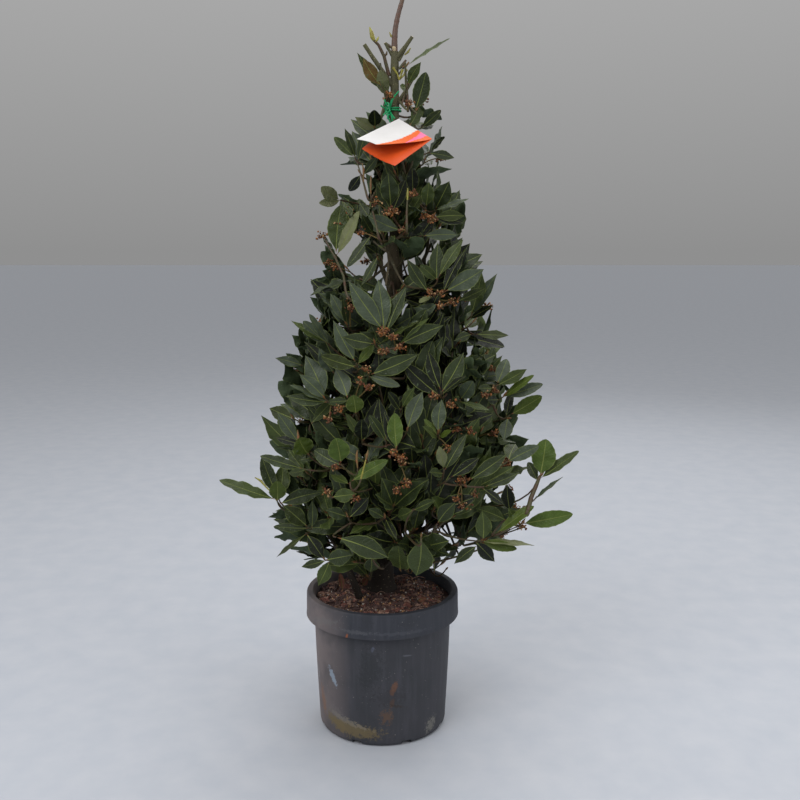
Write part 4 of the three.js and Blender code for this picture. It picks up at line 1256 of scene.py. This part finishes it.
# stems and closed buds seen among the leaves, with their depth inside the crown's outline instead
seenStems = [
    ([(357.6, 468), (356.8, 461), (356.6, 455), (357.4, 450)], [1.2, 2.6, 2.4, 0.8], 14, 2),
    ([(361, 479), (363.4, 469), (365.8, 460)], [1.8, 1.6, 1.4], 14, 4),
    ([(365.8, 460), (367, 455), (368.2, 450)], [1.4, 2.8, 0.8], 14, 2),
    ([(298.6, 444), (298.2, 437), (297.6, 430)], [1.4, 3.0, 0.8], 8, 2),
    ([(367, 196), (363.4, 182), (357, 162)], [2.2, 1.9, 1.2], 20, 1),
    ([(363.4, 182), (363.6, 170), (362.2, 163)], [1.2, 2.2, 0.6], 18, 2),
    ([(370.8, 194), (370.6, 184), (371, 175)], [1.2, 2.2, 0.6], 18, 2),
    ([(528, 511), (531, 498), (536, 486), (540, 476)], [4.8, 4.6, 4.2, 3.0], -24, 1),
    ([(531, 498), (533.6, 500.6), (537, 496.4)], [1.6, 1.4, 1.2], -20, 1),
    ([(277, 501), (270, 491), (266, 487), (261, 481), (255, 477.5)], [1.2, 1.2, 1.6, 2.6, 1.0], 14, 4),
    ([(406.8, 226), (406.6, 213), (407.4, 200)], [2.6, 2.2, 1.4], 20, 1),
    ([(407.4, 200), (407.6, 194), (407.8, 188)], [1.4, 2.4, 0.7], 20, 4),
    ([(378, 234), (376, 224), (372.6, 211)], [2.4, 2.2, 1.6], 24, 1),
    ([(346, 292), (343.6, 276), (335.4, 258), (323, 236)], [2.6, 2.4, 2.0, 1.3], 20, 1),
]


def stemLine(shoot):  # the middle line and the radii of a shoot that is given by pixels
    path, widths, depth, finish = shoot
    last, points, radii = len(path) - 1, [], []
    if shoot in topShoots:
        planes = [trunkPoint(trunk["top"]).y - depth] * 2
    else:
        planes = [onCrown(path[end], depth).y for end in (0, -1)]
    for i in range(last * 4 + 1):
        share = i / 4
        pixel = [np.interp(share, range(last + 1), [point[axis] for point in path]) for axis in (0, 1)]
        ray = sightLine(pixel)
        point = cameraPlace + ray * ((lerp(*planes, share / last) - cameraPlace.y) / ray.y)
        width = float(np.interp(share, range(last + 1), widths))
        points.append(point)
        radii.append(width / 2 * (point - cameraPlace).length / camera["focalPixels"])
    return points, radii


def pixelsOf(samples):
    pitch, away = math.radians(camera["pitch"]), samples - np.array(camera["place"])
    depth = away[:, 1] * math.cos(pitch) - away[:, 2] * math.sin(pitch)
    above = away[:, 2] * math.cos(pitch) + away[:, 1] * math.sin(pitch)
    middle, focal = camera["imagePixels"] / 2, camera["focalPixels"]
    return middle + focal * away[:, 0] / depth, middle - focal * above / depth


def inOpening(samples):
    across, down = pixelsOf(samples)
    return any((np.hypot(across - x, down - y) < radius).any() for x, y, radius in openings)


def onCrown(pixel, inset):
    # the first place, seen from the camera, that lies this deep inside the crown's outline, or the
    # place nearest the crown's axis
    ray = sightLine(pixel)
    nearest, nearestReach = None, 1e9
    for away in np.arange(*crown["sightRange"]):
        place = cameraPlace + ray * float(away)
        reach = reachOf(place)
        if reach < crownRadius(place.z) - inset and place.z > crown["floor"] - 30:
            return place
        if reach < nearestReach:
            nearest, nearestReach = place, reach
    return nearest


seenShape = {
    # how long a leaf is for the width that shows, and the least length, in millimetres
    "broad": (1.35, 30), "slender": (2.2, 44), "longest": 88, "proud": 8, "gap": 4,
    "shorter": 3, "stalk": 1.5, "arch": 0.55, "hangingArch": 0.3,
    "turns": (0, 5, -5, 10, -10, 16, -16),  # how far a tip may move to pass through no other leaf
}


def seenLeaf(root, end, width, slimness, tint, shape):
    towards = (cameraPlace - root).normalized()
    direction, length = (end - root).normalized(), (end - root).length
    real = min(max(width, length * 0.3), length / slimness * 1.1)
    normal = (towards - direction * towards.dot(direction)).normalized()
    tilt = math.acos(min(width / real, 1))
    side = direction.cross(normal)
    side = side if side.z > 0 else -side
    face = normal * math.cos(tilt) + side * math.sin(tilt)
    for shorter in range(10):  # a leaf that would stand too far out is made a little shorter
        foot = root + direction * seenShape["stalk"]
        left = length - seenShape["stalk"] - shorter * seenShape["shorter"]
        found = tryLeaf(foot, direction, face, left, real, tint, overhang=90, gap=-9, proud=14)
        if found:
            found["arch"] = seenShape["hangingArch" if direction.z < -0.2 else "arch"]
            found["shape"] = shape
            found["corners"] = cornersOf(found)
            return found
    return None


def growSeenSpray(spray, seed):
    x, y, inset, leafRows = spray
    draw, foot = seeded(seed), onCrown((x, y), inset)
    scale = (foot - cameraPlace).length / camera["focalPixels"]  # millimetres to a pixel
    plans, aim = [], Vector((0, 0, 0.3)) + wayOut(foot) * 0.3
    for tipX, tipY, shown, tint in leafRows:
        ray = sightLine((tipX, tipY))
        near = cameraPlace + ray * (foot - cameraPlace).dot(ray)
        flat = (near - foot).length
        width = shown * scale
        slimness, least = seenShape["broad" if tint in ("lime", "fresh") else "slender"]
        length = min(max(flat, width * slimness, least), max(flat, seenShape["longest"]))
        depth = math.sqrt(max(length ** 2 - flat ** 2, 0))
        ends = [near - ray * depth, near + ray * depth]
        fits = [end for end in ends if reachOf(end) < crownRadius(end.z) + seenShape["proud"]]
        end = max(fits, key=reachOf) if fits else min(ends, key=reachOf)
        aim += (end - foot).normalized()
        plans.append((end, ray, width, slimness, tint))
    aim.z = max(aim.z, 0.15)
    path, away = twigTo(foot, aim.normalized())
    for i, (end, ray, width, slimness, tint) in enumerate(plans):
        root = path(1 - min(i * seenShape["gap"] / away, 0.4))
        shape = int(draw() * leaf["shapes"])
        if tint in ("lime", "fresh"):
            shape = leaf["shapes"] - 1 - shape % leaf["bluntShapes"]
        found = None
        for deeper in seenShape["turns"]:
            tried = seenLeaf(root, end + ray * deeper, width, slimness, tint, shape)
            found = found or tried
            if tried and not crossesSeen(tried):
                found = tried
                break
        if found:
            keepLeaf(found, draw)
            seenLeaves.append(found)
        else:
            print("no room for a leaf at", x, y)
    return foot


def onScreen(samples):
    across, down = pixelsOf(samples)
    return np.stack([across, down, np.linalg.norm(samples - np.array(camera["place"]), axis=1)], axis=1)


hiding = {"look": 50, "beside": 6.5, "behind": 2}  # two in pixels, and a depth in millimetres


def hidesSeen(samples, screens):
    # whether a filling leaf would stand in front of one that the photograph shows
    mine = onScreen(samples)
    away = np.abs(screens[:, :, :2].mean(1) - mine[:, :2].mean(0)).max(1)
    near = screens[away < hiding["look"]].reshape(-1, 3)
    if not len(near):
        return False
    apart = np.hypot(near[:, None, 0] - mine[None, :, 0], near[:, None, 1] - mine[None, :, 1])
    behind = near[:, None, 2] > mine[None, :, 2] + hiding["behind"]
    return bool(((apart < hiding["beside"]) & behind).any())


# fallen leaves, dried and curled, that stand in the compost
dryLeaves = [
    {"foot": (342.5, 590), "towards": (-2, 3, 12), "length": 27, "width": 10},
    {"foot": (362, 586), "towards": (6, 2, 8), "length": 18, "width": 13},
    {"foot": (417, 601), "towards": (9, 3, 2), "length": 17, "width": 8},
]
tints = ["deep", "dark", "grey", "mid", "fresh", "olive", "brown", "lime", "pale", "dry"]
# shares of the filling's tints; deep is partly painted shade and grey partly painted sheen
tintShares = {
    "deep": 0.3, "dark": 0.3, "grey": 0.15, "mid": 0.12, "olive": 0.05, "fresh": 0.045, "lime": 0.015,
}
layers = [  # targets over the outline, how far inside it they lie, and how far apart
    {"inset": 46, "spacing": 55, "lowest": 262, "highest": 1010, "leaves": 7, "seed": 900, "fewest": 3},
    {"inset": 100, "spacing": 66, "lowest": 290, "highest": 900, "leaves": 6, "seed": 1900, "fewest": 2},
]
filling = {
    "turnSway": 0.7, "heightSway": 0.8, "rowStep": 0.84,  # shares of the spacing
    "inset": (0.75, 0.55), "frontInset": 26, "leastReach": (10, 8), "overhang": (12, 2),
    "plainFront": 0.25, "buds": 0.55, "budInset": 60, "budFront": 0.5, "topLeaves": 0.86,
}
longShoots = [  # where the shoots end that stand out past the outline
    (213, -22, 321), (191, -20, 495), (137, -16, 641), (85, -30, 715), (-128, -24, 440), (-84, -20, 606),
]
budSpots = []  # the place of a bud cluster, the wood that it hangs on, and a seed
tipBuds = []  # the place of a shoot's end, where it points, and a seed
shootShape = {
    "lowRise": 34, "highRise": 66,  # degrees over the level, low on the plant and near its top
    "riseSway": 0.8, "sideSway": 1.1, "leafyLength": 62, "leafyShare": 0.7,
    "length": (0.72, 0.42), "width": (0.84, 0.36),  # the least share, and how much more by chance
    "lowOpening": 1.25, "topOpening": 0.5, "openingSway": 0.5, "rollSway": 0.9,
    "tries": 6, "easyRoom": 6, "leastRoom": 1.5, "budReach": 26,
}


def growShoot(target, seed, count, tint, overhang, screens, sizeShare=1.0, buds=False):
    draw, before = seeded(seed), len(leaves)
    mass = nearestMass(target)
    height = limited((target.z - 300) / 700)
    rise = math.radians(lerp(shootShape["lowRise"], shootShape["highRise"], height))
    rise += (draw() - 0.5) * shootShape["riseSway"]
    sideways = wayOut(target).cross(up) * (draw() - 0.5) * shootShape["sideSway"]
    aim = (wayOut(target) * math.cos(rise) + up * math.sin(rise) + sideways).normalized()
    path, away = twigTo(target, aim)
    start = draw() * 2 * math.pi
    leafy = min(shootShape["leafyShare"], shootShape["leafyLength"] / away)
    along = (path(1) - path(0.8)).normalized()
    for i in range(count):
        share = i / (count - 1)
        root = path(lerp(1 - leafy, 0.99, share ** 0.8))
        (shortest, longer), (narrowest, wider) = shootShape["length"], shootShape["width"]
        length = leaf["length"] * sizeShare * (shortest + longer * draw())
        width = length * leaf["width"] * (narrowest + wider * draw())
        sway = (draw() - 0.5) * shootShape["openingSway"]
        roll = (draw() - 0.5) * shootShape["rollSway"]
        chosen = None
        for attempt in range(shootShape["tries"]):
            opening = lerp(shootShape["lowOpening"], shootShape["topOpening"], share) + sway - attempt * 0.04
            direction = turnedAbout(along, start + i * growth["goldenTurn"] + attempt * 0.61, opening)
            direction = (direction + up * 0.12).normalized()
            face = along + wayOut(target) * 0.5 + up * 0.25 + direction.cross(along) * roll
            found = tryLeaf(root, direction, face, length, width, tint, overhang)
            if found and (inOpening(found["samples"]) or hidesSeen(found["samples"], screens)):
                found = None
            if found and (chosen is None or found["room"] > chosen["room"]):
                chosen = found
            if chosen and chosen["room"] > shootShape["easyRoom"]:
                break
        if chosen and chosen["room"] > shootShape["leastRoom"]:
            chosen["shape"] = int(draw() * leaf["shapes"])
            chosen["corners"] = cornersOf(chosen)
            if not crossesSeen(chosen):
                keepLeaf(chosen, draw)
    if len(leaves) == before:  # nothing grew, so the twig goes too
        twigs.pop()
        nodesOf[id(mass)].pop()
        return
    if buds:
        wood = path(lerp(1 - leafy, 1, 0.75))
        clear = min(shootShape["budReach"], max(crownRadius(wood.z) - reachOf(wood) - 4, 6))
        budSpots.append((wood + wayOut(wood) * clear + up * 7, wood, seed))
    tipBuds.append((path(1), along, seed))


def pickTint(draw):
    value, total = draw(), 0
    for name, share in tintShares.items():
        total += share
        if value < total:
            return name
    return "dark"


def growCrown():
    for i, spray in enumerate(seenSprays):
        foot = growSeenSpray(spray, 3000 + i)
        if i % 3 == 0:
            tipBuds.append((foot, (wayOut(foot) + up * 1.4).normalized(), i))
    print("seen sprays", len(leaves), "leaves")
    screens = np.array([onScreen(found["samples"]) for found in leaves])
    for scrap in dryLeaves:
        ray = sightLine(scrap["foot"])
        foot = cameraPlace + ray * ((compost["top"] + 2 - cameraPlace.z) / ray.z)
        direction = Vector(scrap["towards"]).normalized()
        axes = leafAxes(direction, Vector((0.3, -1, 0.2)))
        samples = (samplePlan * (scrap["length"], scrap["width"], 1)) @ np.array(axes).T + np.array(foot)
        keepLeaf({
            "root": foot, "axes": axes, "length": scrap["length"], "width": scrap["width"],
            "tint": "dry", "samples": samples, "arch": 1.6}, seeded(scrap["length"]))
    for i, place in enumerate(longShoots):
        growShoot(Vector(place), i * 31 + 5, 4, "mid" if i % 3 else "dark", 40, screens)
    for layer in layers:
        height, row = layer["lowest"], 0
        while height <= layer["highest"]:
            draw = seeded(layer["seed"] + row)
            radius = max(crownRadius(height) - layer["inset"], 14)
            count = max(layer["fewest"], round(2 * math.pi * radius / layer["spacing"]))
            for i in range(count):
                turn = (i + 0.5 * (row % 2) + (draw() - 0.5) * filling["turnSway"]) * 2 * math.pi / count
                z = height + (draw() - 0.5) * layer["spacing"] * filling["heightSway"]
                # behind the sprays that the photograph shows, the filling lies deeper
                front = max(0, -math.sin(turn)) ** 0.7
                (least, more), (closest, further) = filling["inset"], filling["leastReach"]
                inset = layer["inset"] * (least + more * draw()) + filling["frontInset"] * front
                reach = max(crownRadius(z) - inset, closest + further * draw())
                tint = pickTint(draw)
                if front > filling["plainFront"] and tint in ("lime", "fresh", "olive"):
                    tint = "dark"
                sizeShare = lerp(1.0, filling["topLeaves"], limited((z - 500) / 500))
                outer = layer["inset"] < filling["budInset"] and front < filling["budFront"]
                buds = draw() < filling["buds"] and outer
                growShoot(
                    crownPoint(turn, z, reach), layer["seed"] * 7 + row * 53 + i, layer["leaves"], tint,
                    lerp(*filling["overhang"], front), screens, sizeShare, buds)
            height += layer["spacing"] * filling["rowStep"]
            row += 1
    for stem in seenStems:  # a stem that stands on no other grows from the wood
        if not any(stem[0][0] in other[0] for other in seenStems if other is not stem):
            points, radii = stemLine(stem)
            thick = max(growth["shootRadii"][0], radii[0])
            twigTo(points[0], (points[1] - points[0]).normalized(), (thick, radii[0]))
    for i, pixel in enumerate(seenBuds):
        spot = onCrown(pixel, 26)
        mass = nearestMass(spot)
        wood = min(nodesOf[id(mass)], key=lambda node: (node - spot).length)
        budSpots.append((spot, wood, 7000 + i))


growCrown()
print("crown planned", len(leaves), "leaves", len(twigs), "twigs", len(budSpots), "bud clusters")


venation = {
    "sideVeins": 11, "forward": 0.16, "veinWidth": 0.1, "veinShade": 0.16, "marginPaleAndHighlight": 0.75,
    "net": 3.4,  # millimetres between the finest veins
}


def makeLeafFinish(name, colour, roughness, sideVeins=True):
    # a bay leaf's cuticle: leathery and waxy, with a soft sheen, paler side veins, a pale margin that is
    # partly a painted highlight along the edge, and a fine net of veins between them
    finish = newFinish(name, colour, roughness, specular=0.28)
    darker, lighter, pale = (
        addNode(finish, "HueSaturation", {"Color": colour, "Value": value, "Saturation": saturation})
        for value, saturation in ((0.78, 1), (1.22, 0.96), (1.9, 0.95)))
    shade = covered(finish, darker, lighter, clouds(finish, 16, 2), 0.3, 0.72)
    net = addNode(finish, "TexVoronoi", {
        "feature": "DISTANCE_TO_EDGE", "Vector": addNode(finish, "TexCoord", {}, "Object"),
        "Scale": 1 / (venation["net"] * mm)}, "Distance")
    relief = addNode(finish, "MapRange", {"Value": net, "From Max": 0.16})
    if sideVeins:
        plan = addNode(finish, "Attribute", {"attribute_name": "leafPlan"}, "Vector")
        along, across = (addNode(finish, "SeparateXYZ", {0: plan}, axis) for axis in ("X", "Y"))
        across = addNode(finish, "Math", {"operation": "ABSOLUTE", 0: across})
        start = addNode(finish, "Math", {
            "operation": "MULTIPLY_ADD", 0: across, 1: -venation["forward"], 2: along})
        counted = addNode(finish, "Math", {"operation": "MULTIPLY", 0: start, 1: venation["sideVeins"]})
        vein = addNode(finish, "Math", {"operation": "PINGPONG", 0: counted, 1: 0.5})
        shade = covered(finish, shade, pale, vein, venation["veinWidth"], 0, venation["veinShade"])
        # the pale margin: partly the leaf's own paler edge, partly a painted highlight along the edge
        shade = covered(finish, shade, "#68733a", across, 0.9, 0.96, venation["marginPaleAndHighlight"])
        # dust that rain has left in dots
        shade = covered(finish, shade, "#9aa092", clouds(finish, 2.4, 1), 0.72, 0.8, 0.4)
        groove = addNode(finish, "MapRange", {"Value": vein, "From Max": 0.3})
        relief = addNode(finish, "Math", {"operation": "MULTIPLY_ADD", 0: groove, 1: 0.9, 2: relief})
    link(finish, shade, "Base Color")
    link(finish, addNode(finish, "Bump", {"Height": relief, "Distance": 0.16 * mm}), "Normal")
    return finish


# grey and pale are partly painted sheen, lighter copies of the leaf green for leaves that reflect the sky,
# and pale also holds paler undersides; deep is partly painted shade, a darker copy for leaves in shadow
leafColours = {  # the colour and the roughness of each tint
    "deep": ("#141a0d", 0.42), "dark": ("#2d371e", 0.38), "grey": ("#434d3c", 0.33),
    "mid": ("#3a461f", 0.4), "fresh": ("#435218", 0.4), "olive": ("#2f3815", 0.42),
    "brown": ("#54421a", 0.5), "lime": ("#43561c", 0.42), "pale": ("#6b6f4d", 0.38), "dry": ("#6b4235", 0.7),
}
leafFinishes = [makeLeafFinish(f"bay leaf {name}", *leafColours[name]) for name in tints]
# midribs: pale and smooth; undersides: paler and dull; stalks: reddish
leafFinishes.append(makeLeafFinish("bay leaf midrib", "#6c7638", 0.45, False))
leafFinishes.append(makeLeafFinish("bay leaf underside", "#414f35", 0.6))
leafFinishes.append(makeLeafFinish("bay leaf stalk", "#6f4a2e", 0.5, False))
finishNumbers = {"rib": len(tints), "under": len(tints) + 1, "stalk": len(tints) + 2}


def makeFoliage():
    for tier in tiers:
        name = tier["name"]
        heap = Heap()
        for found in leaves:
            if found["tier"] != name:
                continue
            faces, kinds, plan = leafShapes[found["shape"]][1:]
            finishNumbers["blade"] = tints.index(found["tint"])
            heap.add(cornersOf(found), faces, [finishNumbers[kind] for kind in kinds], plan)
        piece = heap.toPiece(f"{name}_leaves", leafFinishes, 55)
        nodes = [f"{name}_foliage_{number + 1}" for number in range(tier["masses"])]
        finishPiece(piece, f"{name}_leaves", "foliage", *nodes)


def makeTwigs():
    heap = Heap()
    for points, radii, age in twigs:
        tubeInto(heap, points, radii, 7 if age == "old" else 6, 0 if age == "old" else 1)
    for spot, along, seed in tipBuds:  # a slender pointed bud at the end of a shoot
        draw = seeded(seed * 5 + 2)
        size = 7 + 6 * draw()
        points = [spot + along * size * share for share in (0, 0.25, 0.55, 0.8, 1)]
        tubeInto(heap, points, [0.9, 1.5, 1.5, 0.9, 0.3], 6, 2)
    for shoot in topShoots + seenStems:
        points, radii = stemLine(shoot)
        tubeInto(heap, points, radii, 9, shoot[3])
        if shoot[3] == 0:  # the pruned one shows its cut wood
            end, along = points[-1], (points[-1] - points[-2]).normalized()
            tubeInto(heap, [end - along * 0.4, end + along * 0.3], [radii[-1] * 1.02, radii[-1] * 0.96], 9, 3)
    # this year's wood: smooth, reddish brown going green
    young = flecked("green and red bay twig", ("#482f20", "#414425"), 0.55, 12, 0.35, 0.7, 3)
    skin = clouds(young, 1.8, 2)
    link(young, addNode(young, "Bump", {"Height": skin, "Distance": 0.2 * mm}), "Normal")
    # closed leaf buds: dry red-brown scales; swelling buds: waxy and yellow-green
    scales = flecked("closed leaf bud", ("#794a29", "#5c562c"), 0.55, 3, 0.35, 0.7)
    fresh = flecked("swelling bay bud", ("#93913c", "#7c6f35"), 0.45, 4, 0.35, 0.7)
    piece = heap.toPiece("crown_twigs", [barkFinish, young, scales, cutFinish, fresh], 60)
    finishPiece(piece, "crown_twigs", "bark")


budCluster = {
    "fewest": 26, "more": 14, "spread": (2, 7.5), "size": (1.0, 1.2), "cream": 0.8, "rough": 0.16,
    "stalkRadius": 0.9, "budStalk": (0.6, 0.45),
}


def makeBuds():
    heap = Heap()
    for spot, wood, seed in budSpots:
        draw = seeded(seed * 3 + 1)
        hang = bent(wood, wood.lerp(spot, 0.6) + up * 4, spot)
        tubeInto(heap, spread(hang, 5), [budCluster["stalkRadius"]] * 6, 5, 3)
        for i in range(budCluster["fewest"] + int(draw() * budCluster["more"])):
            turn, tilt = draw() * 2 * math.pi, math.acos(1 - 1.7 * draw())
            way = Vector((math.sin(tilt) * math.cos(turn), math.sin(tilt) * math.sin(turn), math.cos(tilt)))
            (least, more), (smallest, larger) = budCluster["spread"], budCluster["size"]
            place = spot + way * (least + more * draw() ** 1.4)
            finish = int(draw() ** 1.4 * 3)
            size = (smallest + larger * draw() ** 2) * (budCluster["cream"] if finish == 2 else 1)
            lumpInto(heap, place, (size, size * 0.85, size * 1.3), draw, finish, budCluster["rough"])
            if i % 3 == 0:
                tubeInto(heap, [spot, place - way * size * 0.6], budCluster["budStalk"], 4, 3)
    colours = [
        ("brown bud scale", "#5d341a"), ("orange bud", "#8f5826"), ("cream bud", "#b59266"),
        ("olive bud stalk", "#5f5526"),
    ]
    materials = [  # flower buds: dry, matt scales over soft petals
        flecked(name, (colour, "#54331d"), 0.7, 1.6, 0.4, 0.75) for name, colour in colours]
    piece = heap.toPiece("flower_buds", materials, 60)
    finishPiece(piece, "flower_buds", "blossom")


makeFoliage()
makeTwigs()
makeBuds()


# Label and tie

def makeLabel():
    back, right, left, front = (Vector(label[name]) for name in ("back", "right", "left", "front"))
    lowerLeft, lowerFront = Vector(label["lowerLeft"]), Vector(label["lowerFront"])
    deselectAll()
    bpy.ops.mesh.primitive_grid_add(x_subdivisions=40, y_subdivisions=56, size=2)
    card = bpy.context.object
    shares = {}
    for vertex in card.data.vertices:
        across, along = (vertex.co.x + 1) / 2, vertex.co.y
        outer, corner = (left, front) if along >= 0 else (lowerLeft, lowerFront)
        reach = abs(along)
        spot = back + (right - back) * across + (outer - back) * reach
        lift = corner - (outer + right - back)
        spot += lift * (across * reach) ** 1.2
        bow = label["bow"] if along >= 0 else label["lowerBow"]
        spot.z += bow * math.sin(math.pi * across) * reach
        spot.y += label["foldGap"] * min(reach / label["foldShare"], 1)
        if along < 0 and reach > label["tornFrom"]:  # the lower panel's torn edge
            spot.x += noise.noise(Vector((across * 17, 3, 1))) * label["tear"]
        shares[vertex.index] = (across, along)
        vertex.co = spot * mm
    finishes = {
        "white": ("#dcdad9", "#d0cecc"), "orange": ("#ea6c2c", "#dc5c28"), "pink": ("#f27aa8", "#e86c98"),
        # the lower panel's orange is a darker copy of the printed orange: painted shade under the upper panel
        "shade-painted orange": ("#d3511b", "#bd4216"),
    }
    for name, colours in finishes.items():  # printed card with a thin film over it
        finish = flecked(f"{name} card", colours, 0.45, 30, 0.3, 0.9, specular=0.3)
        buckle = clouds(finish, 14, 2)
        link(finish, addNode(finish, "Bump", {"Height": buckle, "Distance": 0.5 * mm}), "Normal")
        card.data.materials.append(finish)
    for face in card.data.polygons:
        across = sum(shares[i][0] for i in face.vertices) / len(face.vertices)
        along = sum(shares[i][1] for i in face.vertices) / len(face.vertices)
        # the lower panel takes the darker orange, painted shade under the upper panel
        band = "shade-painted orange"
        if along > 0:  # the bands fan out towards the lifted front corner
            white, orange, pink = (lerp(*label[name], along) for name in ("white", "orange", "pink"))
            band = "white" if across < white else "pink" if orange < across < pink else "orange"
        face.material_index = list(finishes).index(band)
    thick = card.modifiers.new("card", "SOLIDIFY")
    thick.thickness = label["thickness"] * mm
    thick.offset = 0
    applyModifiers(card)
    bpy.ops.object.shade_smooth_by_angle(angle=math.radians(30))
    finishPiece(card, "folded_label", "label", "swing_label")


tie = {
    "height": 952, "radius": 1.15, "turns": 2, "turnSteps": 28, "gap": 0.6, "bows": 3,
    "ends": [  # where each loose end heads from the knot, and where it stops
        ((-1, -4, 12), (14, -6, 26)), ((3, -6, 14), (9, -3, 22)), ((-6, -8, 8), (-8, -8, 16)),
        ((-9, -5, 2), (-13, -6, 6)), ((-5, -8, -8), (1, -8, -18)), ((-3, -9, -10), (-3, -9, -14)),
        ((-8, -5, -4), (-9, -8, -9)), ((3, -9, -6), (4, -7, -16)),
    ],
}


def makeTie():
    middle = trunkPoint(tie["height"])
    loop = trunkRadius(tie["height"]) + tie["radius"] + tie["gap"]
    rounds = []
    for step in range(tie["turns"] * tie["turnSteps"] + 1):
        done = step / tie["turnSteps"]
        turn = done * 2 * math.pi
        rise = done * 2.0 + 0.8 * math.sin(turn * 0.7)
        rounds.append(middle + Vector((math.cos(turn) * loop, math.sin(turn) * loop, rise)))
    strands = [rounds]
    knot = middle + Vector((-loop * 0.8, -loop * 0.75, 1))
    for towards, end in tie["ends"]:
        strands.append(spread(bent(knot, knot + Vector(towards), knot + Vector(end)), 12))
    hangs = bent(knot, knot + Vector((3, -9, -8)), Vector(label["back"]) + Vector((-6, -6, 0)))
    strands.append(spread(hangs, 12))
    for turn in range(tie["bows"]):  # the loops of the bow
        middleOf = knot + Vector((-2 - turn, -3, (turn - 1) * 5))
        strands.append([
            middleOf + Vector((
                math.cos(step * 0.5 + turn) * 3.4, math.sin(step * 0.5) * 2 - 1,
                math.sin(step * 0.5 + turn) * (3 + turn)))
            for step in range(26)])
    heap = Heap()
    for strand in strands:
        tubeInto(heap, strand, [tie["radius"]] * len(strand), 8, 0)
    # soft polyethylene twine: bright and a little shiny, with fine twisted strands
    finish = flecked(
        "green polyethylene twine", ("#0a7a48", "#18ad6b"), 0.42, 1.1, 0.35, 0.7, depth=0.25)
    piece = heap.toPiece("twine_tie", [finish], 60)
    finishPiece(piece, "twine_tie", "tie", "label_tie")


makeLabel()
makeTie()


# Floor and light

stage = {
    "floorSize": 60, "horizon": 0.275, "zenith": 0.56,
    "aim": (0.02, 0, 0.55),  # in metres, as the lights' places are
    "lights": [
        {"name": "key", "place": (-1.5, -1.9, 2.5), "size": 1.9, "power": 44},
        {"name": "top", "place": (0.3, 0.2, 3.2), "size": 2.6, "power": 38},
        {"name": "fill", "place": (2.2, -1.4, 1.4), "size": 2.0, "power": 18},
        {"name": "back", "place": (1.0, 2.2, 2.2), "size": 1.8, "power": 16},
    ],
}


def makeStage():
    deselectAll()
    bpy.ops.mesh.primitive_plane_add(size=stage["floorSize"], location=(0, 20, 0))
    floor = bpy.context.object
    floor.name = "floor"
    finish = flecked("pale painted board", ("#b1b6bf", "#bbbec5"), 0.6, 60, 0.3, 0.8, 3)
    floor.data.materials.append(finish)
    aim = Vector(stage["aim"])
    for settings in stage["lights"]:
        data = bpy.data.lights.new(settings["name"], "AREA")
        data.energy = settings["power"]
        data.size = settings["size"]
        light = bpy.data.objects.new(settings["name"], data)
        bpy.context.scene.collection.objects.link(light)
        light.location = settings["place"]
        light.rotation_euler = (aim - light.location).to_track_quat("-Z", "Y").to_euler()
    world = bpy.data.worlds.new("soft daylight")
    bpy.context.scene.world = world
    world.use_nodes = True
    # an even sky that darkens to the far floor's tone, so that no horizon shows
    nodes, links = world.node_tree.nodes, world.node_tree.links
    rise = nodes.new("ShaderNodeSeparateXYZ")
    links.new(nodes.new("ShaderNodeTexCoord").outputs["Generated"], rise.inputs[0])
    sky = nodes.new("ShaderNodeMapRange")
    sky.inputs["From Min"].default_value, sky.inputs["From Max"].default_value = 0, 0.6
    sky.inputs["To Min"].default_value, sky.inputs["To Max"].default_value = stage["horizon"], stage["zenith"]
    links.new(rise.outputs["Z"], sky.inputs["Value"])
    links.new(sky.outputs["Result"], nodes["Background"].inputs["Strength"])
    nodes["Background"].inputs["Color"].default_value = (1, 1, 1, 1)
    bpy.context.scene.view_settings.view_transform = "Standard"


makeStage()
print("stage ready")
